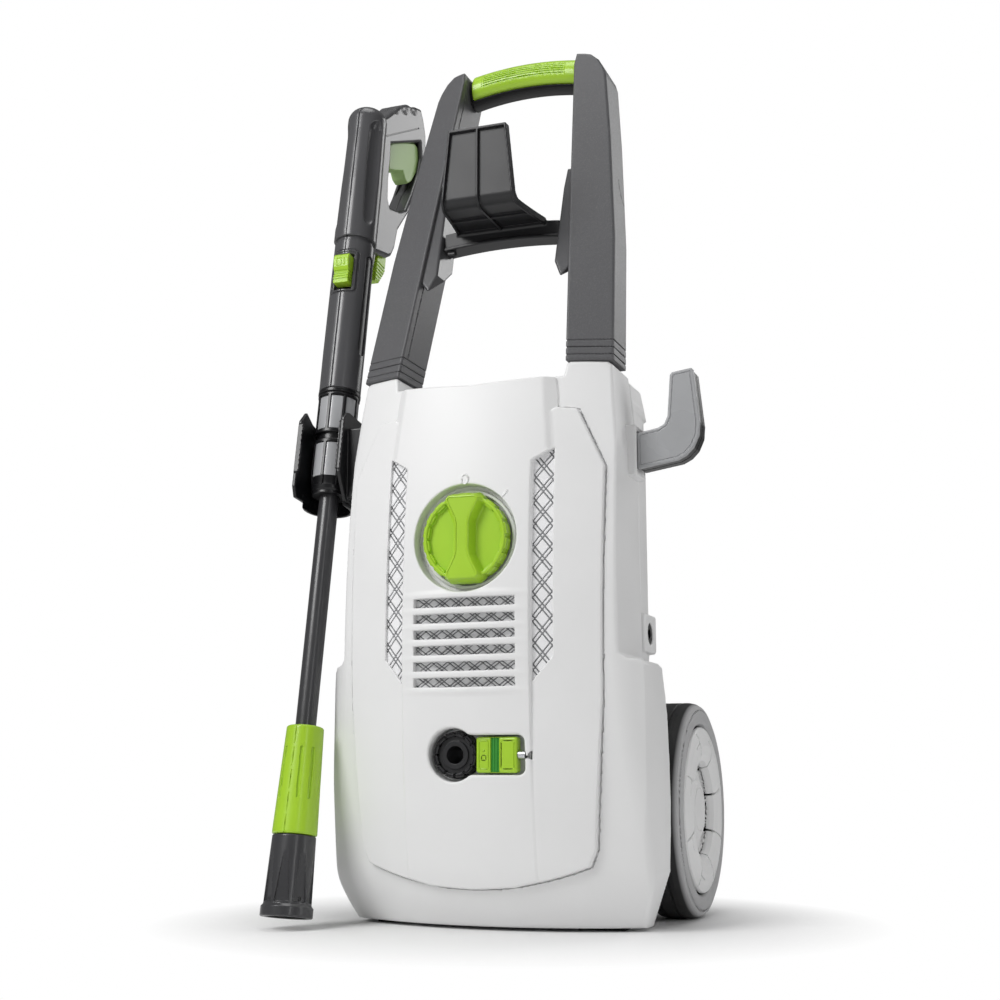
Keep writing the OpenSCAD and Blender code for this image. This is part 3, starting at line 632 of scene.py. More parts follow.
piece("rear_shell", rear_field, (-137, -36, 5), (137, 101, 506), 1.7,
      "housing", WHITE, "housing", "rear_housing", keep=80000)


def lattice(u, v, pitch_u, pitch_v, line, gap):
    """Double diagonal lines crossing in diamonds."""
    turn = math.hypot(pitch_u, pitch_v)
    out = None
    for sign in (1, -1):
        across = (u * pitch_v + sign * v * pitch_u) / turn
        near = wave(across, pitch_u * pitch_v / turn)
        pair = abs(near - gap / 2 - line / 2) - line / 2
        out = pair if out is None else join(out, pair)
    return out


def window_plate(p, near, far):
    """The plates behind the side windows, between two depths below the curved front."""
    area = polygon(abs(p[0]), p[2], [(57, 411), (82, 424), (82, 230), (57, 205)])
    return cut(cut(front(p, near), -front(p, far)), area, 0.4)


def grille_field(p):
    mesh = lattice(abs(p[0]) - 69.5, p[2] - 320, 17, 21, 1.2, 2)
    return less(window_plate(p, 6.4, 8.6), mesh, 0.3)


# Sheet behind the side lattice in painted shade grey, so the lines cut through the lattice read as shaded
# grooves
def grille_back_field(p):
    return window_plate(p, 8.2, 10.4)


for side, word in SIDES:
    low, high = sorted((side * 56, side * 83))
    piece("side_grille_" + word, grille_field, (low, -146, 203), (high, -108, 426), 0.62,
          "housing", WHITE_LATTICE_LIT, "grille", *(["side_grilles"] if side > 0 else []))
    piece("side_grille_back_" + word, grille_back_field, (low, -146, 203), (high, -108, 426), 1.2,
          "housing", PAINTED_SHADE_GREY, "grille", keep=20000)


def vent_plate(p, near, far):
    return cut(slab(p[1], near, far), box(p, (-52, -140, 205), (52, -120, 289), 1), 0.3)


def vent_field(p):
    return less(vent_plate(p, -135.2, -133), lattice(p[0], p[2] - 255, 15.5, 11.5, 1.0, 1.6), 0.3)


# Sheet behind the vent lattice in painted shade grey, so the lines cut through the lattice read as shaded
# grooves
def vent_back_field(p):
    return vent_plate(p, -133.3, -130.8)


piece("vent_lattice", vent_field, (-54, -137, 203), (54, -129, 291), 0.62,
      "housing", WHITE_LATTICE_LIT, "grille", "vent_grille")
piece("vent_back", vent_back_field, (-54, -135, 203), (54, -129, 291), 1.0,
      "housing", PAINTED_SHADE_GREY, "grille", keep=20000)

# ---------------- handle

LEAN = 112 / 361
UPRIGHT = [(83, 505.4), (125, 505.4), (116, 640), (103, 760), (93, 836), (90, 845), (84, 856), (76, 863),
           (70, 864), (62, 864), (60.5, 850), (70, 700)]


def behind_face(y, z):
    """How far a place lies behind the slanting front of the uprights."""
    return y + 100 - (z - 505) * LEAN


def inner_edge(z):
    """Half the clear width between the uprights."""
    return np.where(z < 700, 83 - (z - 505.4) * 13 / 194.6, 70 - (z - 700) * 9.5 / 150)


def upright_field(p):
    x, y, z = p
    w = behind_face(y, z)
    inner = inner_edge(z)
    face = (0.34 * (x - inner) - 4 - w) * 0.905
    body = cut(polygon(x, z, UPRIGHT), w * 0.955 - 54.4, 6)
    body = cut(body, face, 2.6)
    for z0 in (511.5, 519, 526.5):
        body = engrave(body, abs(z - z0 - 0.06 * np.minimum(w, 0)) - 0.6, 0.9)
    seam = cut(abs(w - 7.5) - 0.45, x - inner - 8)
    body = engrave(body, cut(seam, 528 - z), 0.9)
    arc = cut(abs(np.hypot(w - 60, z - 716) - 27) - 0.45, cut(z - 716, inner + 12 - x))
    body = engrave(body, arc, 0.8)
    return join(body, box(p, (88, -84, 460), (116, -54, 510), 1.5))


def upright_on(side):
    return lambda p: upright_field([side * p[0], p[1], p[2]])


for side, word in reversed(SIDES):
    low, high = sorted((side * 58, side * 128))
    piece("upright_" + word, upright_on(side), (low, -108, 458), (high, 70, 867), 1.0,
          "housing", GRAPHITE, "graphite", "handle_upright_" + word, keep=70000)

GRIP_Y, GRIP_Z, GRIP_ARC = 35.6, 555.0, 300.0


def grip_frame(p):
    x, y, z = p
    return np.hypot(x, z - GRIP_Z) - GRIP_ARC, y - GRIP_Y


def grip_field(p):
    up, back = grip_frame(p)
    d = np.hypot(up, back) - 18
    d = cut(cut(d, -(up + 11.2), 0.8), abs(p[0]) - 57.6, 1.6)
    # Inset panel on top with fine grooves, placed by the way around the grip
    girth = (np.degrees(np.arctan2(up, -back)) - 14) * 0.31
    d = engrave(d, cut(abs(girth) - 7.4, abs(p[0]) - 46), 0.5)
    lines = cut(wave(girth, 2.8) - 0.55, abs(girth) - 6.6)
    return engrave(d, cut(lines, abs(p[0]) - 44.5), 1.1)


def grip_under_field(p):
    up, back = grip_frame(p)
    d = cut(cut(np.hypot(up, back) - 17.2, up + 11.6, 1), abs(p[0]) - 59.6)
    core = cut(np.hypot(up, back) - 15.4, slab(abs(p[0]), 57.8, 59.6))
    return join(d, core, 0.4)


piece("grip_top", grip_field, (-60, 15, 828), (60, 56, 875), 0.7,
      "housing", LIME, "lime", "grip_upper")
piece("grip_under", grip_under_field, (-61, 15, 824), (61, 56, 875), 0.9,
      "housing", BLACK, "black", "grip_lower", keep=30000)

# ---------------- hose hanger


def hanger_width(y, z):
    """Half the width: it grows down the plate, then back along the shelf."""
    return np.interp(z, [661, 741], [37.5, 29.5]) + 9.0 * np.clip((y + 112) / 66, 0, 1) ** 1.4


def hanger_field(p):
    x, y, z = p
    ax = abs(x)
    width = hanger_width(y, z)
    # Plate and shelf are one bent sheet, with a wide radius at its foot
    outer = cut(-114 - y, 661 - z, 13)
    inner = cut(-105.5 - y, 668.5 - z, 7)
    sheet = cut(cut(less(outer, inner), cut(y + 44, z - 741)), ax - width, 0.8)
    for s in (1, -1):
        panel = cut(cut(1.1 - s * x, s * x - width + 2.3), cut(z - 738.5, y + 47))
        panel = cut(panel, np.where(z < 672, 0.7 - abs(y + 78), -9.0))
        sheet = less(sheet, cut(panel, -3.2 - outer), 0.4)
    lift = 3.5 * (1 - (x / 60) ** 2)
    bar = cut(cut(slab(z - lift, 648.5, 664), slab(y, -46, -25), 1.2), ax - 59.8)
    lip = cut(cut(slab(z - lift, 645.5, 649), slab(y, -49, -25), 1), ax - 59.8)
    body = join(sheet, join(bar, lip, 0.4), 2)
    stub = cut(np.hypot(y + 44, z - 643) - 3.4, slab(x, -57, -49), 0.8)
    return join(body, stub, 1)


piece("hanger", hanger_field, (-61, -117, 636), (61, -22, 744), 0.85,
      "housing", HANGER, "black", "hose_hanger", keep=80000)


def pad_field(p):
    x, y, z = p
    ax = abs(x)
    w = behind_face(y, z)
    body = cut(polygon(ax, z, [(60.4, 616), (62, 700), (64, 722), (84, 722), (88, 622), (68, 598)]),
               polygon(w, z, [(1, 597), (1, 722), (37.5, 722), (37.5, 630)]) * 0.96, 2.2)
    return cut(body, ax - inner_edge(z) - 1)


for side, word in SIDES:
    low, high = sorted((side * 58, side * 84))
    piece("hanger_pad_" + word, pad_field, (low, -74, 594), (high, 12, 725), 1.0,
          "housing", GUN, "black", *(["hanger_pads"] if side > 0 else []), keep=16000)

# ---------------- cord hook

HOOK = [(138, 408), (138, 442), (158, 445.5), (164, 449), (167, 456), (170, 494), (172, 496.5), (190, 499),
        (192, 497), (197, 448), (196, 436), (191, 425), (184, 418), (176, 414)]


def hook_field(p):
    x, y, z = p
    outline = polygon(x, z, HOOK)
    face = cut(outline, slab(y, -62, -57.6), 1.2)
    return engrave(face, cut(abs(outline + 3.2) - 0.35, y + 60), 0.5)


def hook_back_field(p):
    x, y, z = p
    outline = polygon(x, z, HOOK) + 0.9
    body = cut(outline, slab(y, -58.6, -34.6), 1)
    body = engrave(body, abs(y + 46.5) - 0.5, 0.6)
    cells = wave(x - 150, 14) - 5.6
    return less(body, cut(cut(outline + 2.4, cells), -(y + 37.5)), 0.5)


piece("hook", hook_field, (136, -64, 405), (199, -55, 501), 0.6,
      "housing", SILVER, "hook_silver", "cord_hook", keep=50000)
piece("hook_back", hook_back_field, (136, -61, 405), (198, -32, 501), 0.8,
      "housing", BLACK, "black", keep=40000)


def hook_socket_field(p):
    block = box(p, (112, -64.5, 402), (138.4, -32.5, 450), 2.2)
    return less(block, box(p, (136.8, -62.5, 406), (150, -34, 444), 0.5))


piece("hook_socket", hook_socket_field, (110, -66, 400), (140, -31, 452), 0.9,
      "housing", WHITE, "housing", "cord_hook_socket", keep=16000)

# ---------------- lance, gun and clip

TILT = math.radians(9.65)
LANCE = Matrix.Translation((-165, -146, 18)) @ Matrix.Rotation(-TILT, 4, "X")
BACK_TO_LANCE = np.array(LANCE.inverted())


def to_lance(p):
    m = BACK_TO_LANCE
    return [m[i][0] * p[0] + m[i][1] * p[1] + m[i][2] * p[2] + m[i][3] for i in range(3)]


def clip_field(p):
    x, y, s = to_lance(p)
    rho = np.hypot(x, y)
    jaws = {-1: [(-31, 388), (-31, 455), (-22, 467), (-8, 460), (22, 456), (22, 380), (-26, 378)],
            1: [(-32, 399), (-32, 455), (-28, 461), (-22, 463), (22, 463), (22, 380), (-13, 376)]}
    body = cut(cut(slab(x, -25.0, 25), slab(y, 16, 24.5)), slab(s, 380, 440), 1.2)
    for sign, profile in jaws.items():
        jaw = cut(polygon(y, s, profile), slab(sign * x, 21.5, 25), 0.9)
        flange = cut(cut(slab(y, -32, -28.8), slab(sign * x, 19.5, 24.3)), slab(s, 402, 452), 1)
        body = join(body, join(jaw, flange, 1.2))
    cup = less(cut(rho - 24.9, slab(s, 372, 386), 1.6), cut(slab(x, -21.3, 21.3), y - 3))
    body = join(body, cup, 1)
    body = less(body, cut(rho - 21.3, slab(s, 360, 480)))
    mount = box(p, (-147, -94, 393), (-112, -61, 462), 2)
    mount = less(mount, box(p, (-150, -86, 452), (-100, -69, 470), 4))
    mount = less(mount, rho - 23.5)
    return join(body, mount, 0.8)


piece("clip", clip_field, (-197, -121, 377), (-110, -38, 490), 0.85,
      "housing", BLACK, "black", "gun_clip", keep=80000)

GUN_SIDE = [(6, 646), (14, 658), (25, 665), (53, 674), (61, 680), (67, 692), (71, 716), (93, 750), (110, 784),
            (121, 818), (124, 848), (120, 866), (111, 881), (101, 891), (78, 881), (57, 869), (40, 853),
            (24, 834), (10, 820)]
GAP = [(37, 785), (37, 760), (40, 738), (46, 731), (70, 740), (84, 750), (97, 778), (108, 808), (112, 832),
       (106, 850), (35, 803)]
TRIGGER_SLOT = [(32, 778), (32, 806), (38, 812), (44, 824), (51, 831), (61, 832), (98, 857), (107, 860),
                (113, 856), (117, 846), (117, 815), (108, 795), (98, 778)]


def segment(u, v, a, b):
    ex, ey = b[0] - a[0], b[1] - a[1]
    t = np.clip(((u - a[0]) * ex + (v - a[1]) * ey) / (ex * ex + ey * ey), 0, 1)
    return np.hypot(u - a[0] - ex * t, v - a[1] - ey * t)


def slot_mask(x, y, s):
    """Long slots in both sides of the lower barrel."""
    ends = np.maximum(abs(s - 589) - 50, 0)
    return cut(np.hypot(y + 2, ends) - 5.6, 9 - abs(x))


def slot_trim_field(p):
    x, y, s = p
    return cut(abs(np.hypot(x, y) - 18.3) - 0.75, slot_mask(x, y, s) - 0.4)


def gun_field(p):
    x, y, s = p
    rho = np.hypot(x, y)
    ax = abs(x)
    radius = np.interp(s, [494, 540, 656, 661, 663, 730, 790], [20.6, 20.8, 20.4, 20.4, 21.9, 21.7, 20.6])
    barrel = cut(rho - radius, slab(s, 494, 822), np.where(s > 700, 15.0, 1.2))
    barrel = cut(barrel, -cut(abs(s - 660) - 2.0, 19.0 - rho))
    body = cut(polygon(y, s, GUN_SIDE), ax - 13, 5)
    body = less(body, cut(polygon(y, s, GAP), ax - 40), 4)
    gun = join(barrel, body, 3)
    # Rail behind the lower barrel, and the slots in its sides
    rail = cut(polygon(y, s, [(0, 530), (19, 532), (25, 560), (29, 640), (33, 668), (0, 668)]), ax - 8, 1.5)
    gun = join(gun, rail, 1)
    gun = engrave(gun, slot_mask(x, y, s), 2.2)
    # Long flutes beside the front of the upper barrel
    a = math.radians(58)
    off = np.hypot(ax - 28.6 * math.sin(a), y + 28.6 * math.cos(a))
    reach = np.maximum(abs(s - 738) - 52, 0) * 0.8
    flute = np.hypot(off, reach) - 12.2 + 2.4 * np.clip((750 - s) / 70, 0, 1)
    gun = less(gun, flute, 0.8)
    # Raised frame and window of the release button
    frame_mask = rect(x, s, (-13.0, 599), (13.0, 645), 3.5)
    gun = emboss(gun, cut(abs(frame_mask + 0.8) - 0.8, y), 0.8)
    gun = engrave(gun, cut(abs(frame_mask - 0.9) - 0.5, y), 0.7)
    window = rect(x, s, (-9.8, 601), (9.8, 641), 2)
    gun = less(gun, cut(window, slab(y, -60, -11)), 0.5)
    # Row of dashes, and the seam of the grip
    dash = cut(cut(abs(y - 15) - 2.3, wave(s - 661, 7.6) - 1.2), abs(s - 689) - 30)
    gun = engrave(gun, cut(dash, 8 - ax), 1.4)
    gun = engrave(gun, cut(segment(y, s, (21, 804), (98, 863)) - 0.6, 8 - ax), 0.9)
    # Along the grip, and away from its axis: soft waves on top of it
    lean = math.radians(58.2)
    t = y * math.sin(lean) + (s - 810) * math.cos(lean)
    off = y * math.cos(lean) - (s - 810) * math.sin(lean)
    wavy = np.clip((-off - 7) / 6, 0, 1) * np.clip((t - 40) / 10, 0, 1) * np.clip((118 - t) / 8, 0, 1)
    gun = gun + wavy * (0.8 + 0.8 * np.cos(t * 2 * math.pi / 26))
    # Hollows: lance seat, valve, trigger slot, lock pocket and grip end
    gun = less(gun, cut(rho - 17.4, slab(s, 485, 590)), 0.8)
    gun = less(gun, cut(rho - 11, slab(s, 560, 801)))
    gun = less(gun, cut(polygon(y, s, TRIGGER_SLOT), ax - 9), 0.6)
    gun = less(gun, cut(cut(slab(y, 39.5, 63), slab(s, 600, 708)), ax - 6.3), 0.6)
    return less(gun, cut(np.hypot(x, off) - 12, 111 - t), 0.8)


def gun_half(side):
    return lambda p: cut(gun_field(p), 0.12 - side * p[0], 0.6)


for side, word in SIDES:
    low, high = sorted((side * -0.6, side * 24))
    piece("gun_half_" + word, gun_half(side), (low, -24, 491), (high, 128, 895), 0.75,
          "gun", GUN, "gun_grey", "gun_shell_" + word, place=LANCE, keep=100000)

piece("gun_slot_trim", slot_trim_field, (-21, -12, 530), (21, 8, 648), 0.6,
      "gun", BLACK, "black", place=LANCE, keep=20000)

TRIGGER = [(45, 778), (41, 788), (40, 806), (48, 813), (50, 826), (53, 829), (59, 829), (64, 825), (101, 846),
           (110, 846), (116, 836), (114, 818), (102, 797), (93, 789), (85, 790), (78, 796), (60, 785)]
LOCK = [(41, 642), (50, 643), (61.5, 661), (61.5, 700), (41, 700)]
RELEASE = [(-12, 607), (-23.6, 607), (-24.6, 612), (-23.6, 618), (-26, 624), (-27.4, 631), (-26.8, 636),
           (-25, 638), (-12, 638)]


def trigger_field(p):
    x, y, s = p
    body = cut(polygon(y, s, TRIGGER), abs(x) - 8, 2)
    return less(body, np.hypot(y - 56, s - 823) - 3.0)


piece("trigger_lever", trigger_field, (-9, 38, 776), (9, 118, 848), 0.7,
      "gun_trigger", LIME_PALE, "lime", "trigger", place=LANCE, keep=24000)


def lock_field(p):
    x, y, s = p
    body = cut(polygon(y, s, LOCK), abs(x) - 5.8, 1.2)
    return engrave(body, cut(wave(s - 645, 4) - 0.7, s - 668), 0.8)


piece("lock_button", lock_field, (-7, 39, 640), (7, 64, 702), 0.6,
      "gun_lock", LIME, "lime", "trigger_lock", place=LANCE, keep=16000)


def release_field(p):
    x, y, s = p
    body = cut(polygon(y, s, RELEASE), abs(x) - 8.5, 1.2)
    body = engrave(body, cut(wave(s - 614, 3) - 0.55, abs(s - 615) - 6), 0.7)
    mark = abs(rect(x, s, (-4.5, 625.5), (0.5, 633), 1)) - 0.5
    mark = join(mark, cut(abs(x - 3.8) - 0.6, abs(s - 629) - 3.6))
    return emboss(body, cut(mark, y + 21), 0.5)


piece("release_button", release_field, (-10, -30, 605), (10, -10, 640), 0.5,
      "gun_release", LIME, "lime", "lance_release", place=LANCE, keep=30000)


def connector_field(p):
    x, y, s = p
    _, t, rho = around(x, y, 8, math.radians(-67.5))
    lower = cut(rho - 20.5 + 2.6 * np.clip((402 - s) / 13, 0, 1), slab(s, 388.5, 440), 1)
    upper = cut(rho - 20.5, slab(s, 446.5, 489.2), 1)
    drums = join(lower, upper)
    panel = cut(abs(t) - 6.4, join(abs(s - 415) - 21.5, abs(s - 468.5) - 18))
    drums = engrave(drums, panel, 1.7)
    body = join(drums, cut(rho - 17, slab(s, 385, 489)), 0.8)
    body = join(body, cut(rho - 20.9, slab(s, 489.6, 493.5), 0.6), 0.5)
    body = join(body, cut(rho - 13, slab(s, 480, 585), 0.6))
    body = join(body, cut(rho - 17.1, slab(s, 525, 565), 0.8))
    body = less(body, cut(rho - 9.52, slab(s, 370, 445)))
    return less(body, cut(rho - 8, slab(s, 575, 600)))


piece("bayonet", connector_field, (-22.5, -22.5, 383), (22.5, 22.5, 587), 0.75,
      "lance", BLACK, "gun_grey", "lance_connector", place=LANCE, keep=70000)


# Inset panels on the connector drums, light grey as a painted reflection of the bright room
def connector_panel_field(p):
    x, y, s = p
    _, t, rho = around(x, y, 8, math.radians(-67.5))
    rows = join(abs(s - 419) - 17, abs(s - 468) - 17)
    return cut(cut(slab(rho, 18.3, 19.4), abs(t) - 5.8), rows, 0.3)


piece("bayonet_panels", connector_panel_field, (-21, -21, 400), (21, 21, 487), 0.6,
      "lance", BAYONET_REFLECTION, "gun_grey", place=LANCE, keep=40000)


def sleeve_field(p):
    x, y, s = p
    c, t, rho = around(x, y, 4, 0.72)
    radius = 20.4 - (s - 63) * 3.4 / 98
    body = cut(rho - radius, slab(s, 63.2, 161), 2)
    for shift in (-5.2, 5.2):
        slot = cut(np.hypot(np.maximum(abs(s - 118) - 22, 0), t - shift) - 1.3, 12 - c)
        body = engrave(body, slot, 1.2)
    body = engrave(body, abs(x) - 0.35, 0.5)
    return less(body, cut(rho - 9.55, slab(s, 0, 200)), 0.4)


piece("sleeve", sleeve_field, (-22, -22, 61), (22, 22, 163), 0.7,
      "lance", LIME, "lime", "nozzle_sleeve", place=LANCE)


def head_field(p):
    x, y, s = p
    c, t, rho = around(x, y, 8, 0.2)
    radius = np.interp(s, [-8, 0.5, 3, 62.7], [23.4, 23.4, 21.4, 19.6])
    body = cut(rho - radius, slab(s, -8, 62.7), 1.2)
    width = 6.6 - 4.6 * np.clip((s - 5) / 42, 0, 1)
    flute = cut(abs(t) - width, cut(slab(s, 5, 48), 14 - c))
    depth = 2.6 * np.clip((48 - s) / 40, 0, 1)
    body = cut(body, -cut(flute, radius - depth - c))
    body = less(body, cut(rho - 18, s - 10), 0.8)
    body = less(body, cut(rho - 6.05, s - 33))
    return less(body, cut(rho - 9.56, 32 - s))


piece("nozzle_grip", head_field, (-25, -25, -10), (25, 25, 65), 0.7,
      "nozzle", TUBE, "black", "nozzle_head", place=LANCE)


def tube_field(p):
    rho = np.hypot(p[0], p[1])
    return cut(abs(rho - 8.75) - 0.74, slab(p[2], 50, 444))


piece("tube", tube_field, (-10.5, -10.5, 48), (10.5, 10.5, 446), 0.9,
      "lance", TUBE, "tube", "lance_tube", place=LANCE, keep=40000)

# ---------------- knob, outlet and latch

BAR_END = [(0, 37), (12.5, 37), (15.2, 34.5), (14.6, 31.5), (7.6, 17), (6.4, 12)]
KNOB_BAR = mirrored(BAR_END + [(x, -z) for x, z in reversed(BAR_END)])


def knob_field(p):
    x, y, z = p
    c, t, rho = around(x, z - KNOB_Z, 18, 0.17)
    dish = cut(rho - 38.9, slab(y, -139.2, -127.2), 0.8)
    dish = less(dish, cut(rho - 35.2, slab(y, -160, -137.4), 1), 0.5)
    rim = cut(abs(rho - 37.2) - 1.5, slab(y, -142.6, -130), 0.9)
    teeth = cut(cut(slab(c, 34, 39.9), abs(t) - 5.0, 0.8), slab(y, -141.2, -129.4), 0.8)
    body = join(join(dish, rim, 0.6), teeth, 0.5)
    outline = polygon(x, z - KNOB_Z, KNOB_BAR)
    flare = 0.3 * np.clip(y + 149, 0, 12)
    body = join(body, cut(outline - flare, slab(y, -149, -132), 1.3), 1.6)
    # A shallow panel on top of the bar, so that its edge stands up as a bead
    body = engrave(body, cut(outline + 1.9, y + 147), 0.5)
    return less(body, cut(rho - 4.05, slab(y, -134, -120)))


piece("knob_grip", knob_field, (-42, -151, 299), (42, -125, 383), 0.62,
      "switch_knob", LIME, "lime", "knob", keep=80000)


def coupling_field(p):
    x, y, z = p
    u, v = x - OUTLET_X, z - OUTLET_Z
    rho = np.hypot(u, v)
    body = cut(abs(rho - 18) - 2, slab(y, -134, -94.3), 0.8)
    body = join(body, cut(abs(rho - 13.7) - 2.6, slab(y, -131, -94.3), 0.7), 0.3)
    body = join(body, cut(abs(rho - 10) - 2.4, slab(y, -133, -94.3), 0.7), 0.4)
    body = engrave(body, cut(abs(rho - 18.4) - 0.35, y + 130), 0.7)
    c, t, _ = around(u, v, 12)
    body = engrave(body, cut(cut(abs(t) - 0.9, 15.8 - c), y + 128), 0.8)
    return less(body, cut(rho - 8.06, slab(y, -96, -86)))


piece("hose_coupling", coupling_field, (-33, -136, 129), (11, -93, 173), 0.6,
      "housing", HANGER, "black", "outlet_coupling", keep=50000)


def latch_field(p):
    x, y, z = p
    body = box(p, (9.6, -136, 135.6), (47.5, -125, 166.4), 2.4)
    body = less(body, box(p, (23.2, -140, 130), (31.2, -134.6, 172), 0.3), 0.3)
    pad = abs(rect(x, z, (12.6, 139), (21.2, 163), 2)) - 0.5
    body = emboss(body, cut(pad, y + 130), 0.5)
    ring = abs(rect(x, z, (15, 146.5), (19, 150.5), 0.6)) - 0.4
    dots = np.hypot(x - 17, z - 154.5) - 1.0
    body = emboss(body, cut(join(ring, dots), y + 130), 0.45)
    side = abs(rect(x, z, (33, 139), (45, 163), 2)) - 0.4
    body = engrave(body, cut(side, y + 130), 0.4)
    return less(body, cut(np.hypot(y - SPRING_Y, z - OUTLET_Z) - 4.2, slab(x, 46.9, 60)))


piece("latch_button", latch_field, (8, -138, 134), (49, -123, 168), 0.5,
      "hose_latch", LIME, "lime", "outlet_latch", keep=50000)


def latch_band_field(p):
    x, y, _ = p
    body = box(p, (23.5, -135.4, 136.2), (30.9, -133.6, 165.8), 0.5)
    return engrave(body, cut(wave(x - 27.2, 2.4) - 0.45, y + 134.6), 0.5)


piece("latch_band", latch_band_field, (22.5, -137, 135), (32, -132.5, 167), 0.4,
      "hose_latch", LIME_DARK, "lime", keep=20000)

# ---------------- wheels

TYRE_SHAPE = [(78, 3), (82, 1.5), (90, 0.4), (97, 2.5), (100.2, 6), (101, 10), (101, 33), (100, 38),
              (97.5, 42), (90, 45), (84, 45), (81, 43), (78, 38)]
CAP_SHAPE = [(0, 40.4), (24, 40), (27.5, 37.5), (30, 33.4), (40, 33.4), (43.5, 38), (46, 43.8), (52, 46.4),
             (60, 47.6), (70, 46.6), (76.4, 44.4), (77.4, 43), (77.4, 41), (60, 44), (46, 41.5), (42, 31),
             (28, 31), (24, 37), (0, 37)]


def wheel_frame(p, side):
    """Place along the axle from the wheel's inner face, the two places across it, and the radius."""
    u, v = p[1] - AXLE_Y, p[2] - AXLE_Z
    return side * p[0] - WHEEL_X, u, v, np.hypot(u, v)


def tyre_field(side):
    def field(p):
        t, u, v, rho = wheel_frame(p, side)
        _, s, _ = around(u, v, 40)
        d = polygon(rho, t, TYRE_SHAPE)
        for place in (14, 27):
            d = engrave(d, cut(abs(t - place) - 0.9, 98 - rho), 1.1)
        d = engrave(d, cut(abs(s) - 1.8, cut(96 - rho, t - 12)), 1.6)
        c, s, _ = around(u, v, 20, 0.1)
        lug = cut(cut(slab(c, 82, 94.5), abs(s) - 6.5, 1.5), slab(t, 0.2, 4), 0.8)
        d = join(d, lug, 1)
        return engrave(d, cut(abs(rho - 93.5) - 0.5, 30 - t), 0.7)
    return field


def cap_field(side):
    def field(p):
        t, u, v, rho = wheel_frame(p, side)
        c, s, _ = around(u, v, 8, 0.3)
        d = polygon(rho, t, CAP_SHAPE) - 0.3
        # Petals: each stands a little proud, between curved seams
        bend = s - 0.0045 * (c - 44) ** 2
        seam = cut(abs(bend) - 0.9, cut(43 - rho, rho - 75.5))
        d = engrave(d, cut(seam, 14 - t), 1.6)
        d = engrave(d, cut(abs(rho - 42.5) - 1.3, 14 - t), 0.9)
        d = engrave(d, cut(abs(rho - 66) - 0.45, cut(-bend, abs(bend) - 16)), 1)
        return engrave(d, cut(abs(rho - 20) - 0.4, 30 - t), 0.6)
    return field


def hub_field(side):
    def field(p):
        t, u, v, rho = wheel_frame(p, side)
        c, s, _ = around(u, v, 10)
        d = cut(slab(rho, 58, 77.6), slab(t, 6, 12), 0.8)
        d = join(d, cut(slab(rho, 74, 77.7), slab(t, 6, 34), 0.8))
        d = join(d, cut(rho - 61, slab(t, 6, 11), 0.8))
        d = join(d, cut(rho - 14, slab(t, 0, 30), 0.8), 1.5)
        ribs = cut(cut(abs(s) - 1.5, slab(c, 12, 76)), slab(t, 3.5, 9), 0.6)
        d = join(d, cut(ribs, rho - 77), 1)
        return less(d, rho - 6.05)
    return field


for side, word in SIDES:
    low, high = sorted((side * 115, side * 165))
    body = "wheel_" + word
    piece("tyre_tread_" + word, tyre_field(side), (low, -25, -1), (high, 181, 204), 1.25,
          body, TYRE, "tyre_grey", "tyre_" + word, keep=90000)
    piece("wheel_cap_" + word, cap_field(side), (low, -1, 22), (high, 157, 180), 0.85,
          body, WHITE, "cap_white", "hub_cap_" + word, keep=100000)
    piece("wheel_hub_" + word, hub_field(side), (low, -2, 21), (high, 158, 181), 1.2,
          body, BLACK, "hub_black", "hub_" + word, keep=50000)

# ---------------- small metal parts at the back


def screw_field(p):
    x, y, z = p
    ax = abs(x)
    out = None
    for sx, sz in SCREWS:
        u, v, w = ax - sx, z - sz, y - rear_y(sz)
        rho = np.hypot(u, v)
        head = cut(rho - 4, slab(w + 0.04 * rho * rho, -1.2, 1.5), 0.5)
        cross = join(cut(abs(u) - 0.6, abs(v) - 2.4), cut(abs(v) - 0.6, abs(u) - 2.4))
        head = less(head, cut(cross, 0.1 - w))
        one = join(head, cut(rho - 2, slab(w, -19, 0)))
        out = one if out is None else join(out, one)
    return out


piece("screws", screw_field, (-94, 36, 34), (94, 100, 447), 0.5,
      "housing", STEEL, "steel", "housing_screws", keep=40000)


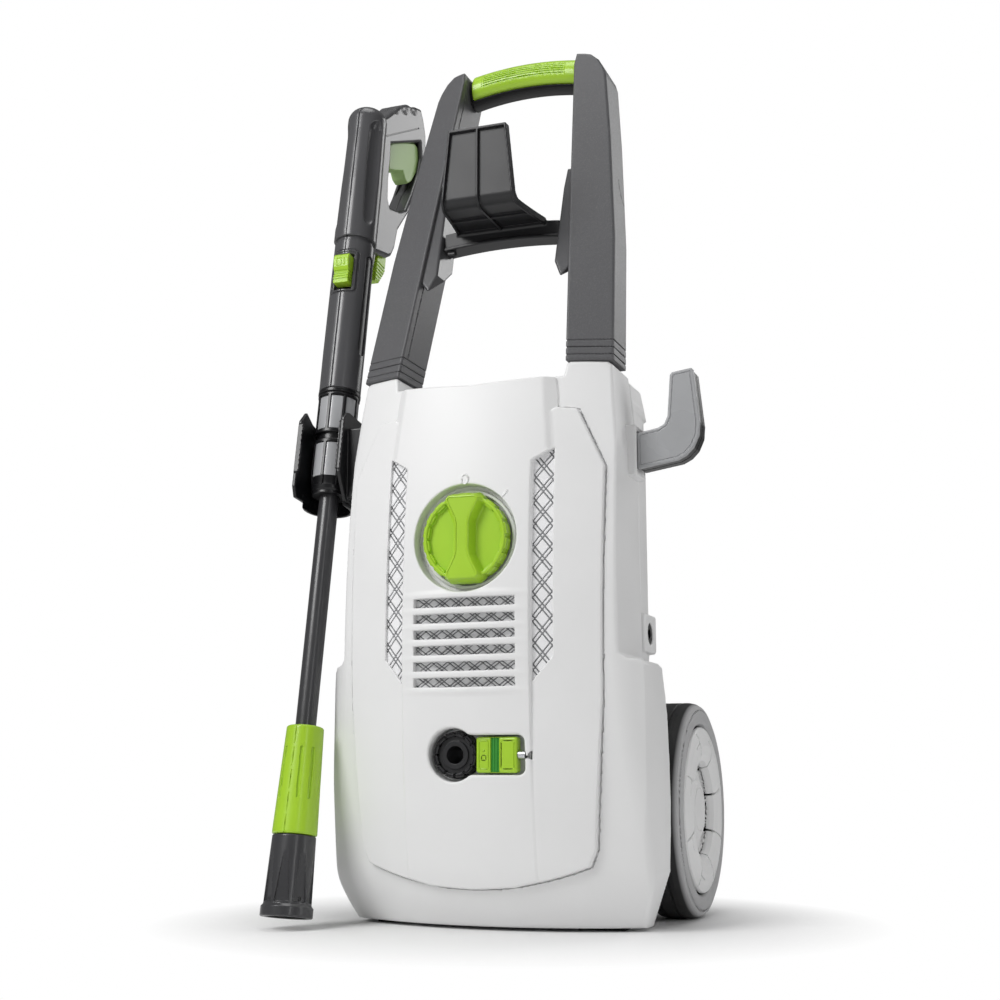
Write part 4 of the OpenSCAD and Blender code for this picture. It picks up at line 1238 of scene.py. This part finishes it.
def inlet_field(p):
    x, y, z = p
    u, v = x - INLET_X, z - INLET_Z
    rho = np.hypot(u, v)
    turn = np.arctan2(v, u) / (2 * math.pi)
    thread = 12.75 + 0.5 * (1 - 4 * abs(((y / 1.8 + turn) % 1) - 0.5)) * np.clip((116.5 - y) / 2, 0, 1)
    c, _, _ = around(u, v, 6)
    d = cut(rho - 10, slab(y, 40, 60))
    d = join(d, cut(c - 13.8, slab(y, 55.2, 89), 0.6), 0.4)
    d = join(d, cut(rho - 14, slab(y, 89, 98.5), 0.6), 0.4)
    d = join(d, cut((rho - thread) * 0.8, slab(y, 98, 117), 0.3), 0.3)
    return less(d, cut(rho - 9, 65 - y), 0.5)


piece("inlet_thread", inlet_field, (-37, 39, 113), (-3, 119, 147), 0.45,
      "housing", BRASS, "brass", "water_inlet")

# ---------------- materials of the CAD nodes that stay

FINISH = {
    "housing": WHITE, "cover": WHITE, "grille": WHITE_LATTICE_LIT, "graphite": GRAPHITE, "gun_grey": GUN, "lime": LIME,
    "black": BLACK, "hook_silver": SILVER, "tyre_grey": TYRE, "foot_rubber": FOOT, "cap_white": WHITE,
    "hub_black": BLACK, "tube": TUBE, "steel": STEEL, "pump_alu": ALU, "copper": COPPER, "brass": BRASS,
}
for part in frame["record"]["subparts"]:
    for spot in frame["nodes"][part["node"]].material_slots:
        spot.material = FINISH[part["material_slot"]]

# ---------------- floor

# Between these distances from the washer the camera sees the floor turn white
FADE = (0.18, 0.34)
floor = bpy.data.meshes.new("floor")
floor.from_pydata([(-30, -12, 0), (30, -12, 0), (30, 40, 0), (-30, 40, 0)], [], [(0, 1, 2, 3)])
floor = bpy.data.objects.new("floor", floor)
scene.collection.objects.link(floor)
n = Nodes("floor_paper")
n.set("Base Color", n.ramp(n.noise(3, 2), [(0.3, (0.88, 0.88, 0.88)), (0.7, (0.9, 0.9, 0.9))]))
n.set("Roughness", n.span(n.noise(40, 2), 0.55, 0.65))
away = n.node("VectorMath", operation="LENGTH")
n.link(n.coords, away.inputs[0])
seen_by = n.node("LightPath")
fade = n.node("Math", operation="MULTIPLY")
n.link(n.span(away.outputs["Value"], 0.0, 1.0, FADE), fade.inputs[0])
n.link(seen_by.outputs["Is Camera Ray"], fade.inputs[1])
glow = n.node("Emission", Color=(1, 1, 1, 1), Strength=1.0)
both = n.node("MixShader")
n.link(fade.outputs[0], both.inputs[0])
n.link(n.bsdf.outputs[0], both.inputs[1])
n.link(glow.outputs[0], both.inputs[2])
n.link(both.outputs[0], n.tree.nodes["Material Output"].inputs["Surface"])
floor.data.materials.append(n.mat)
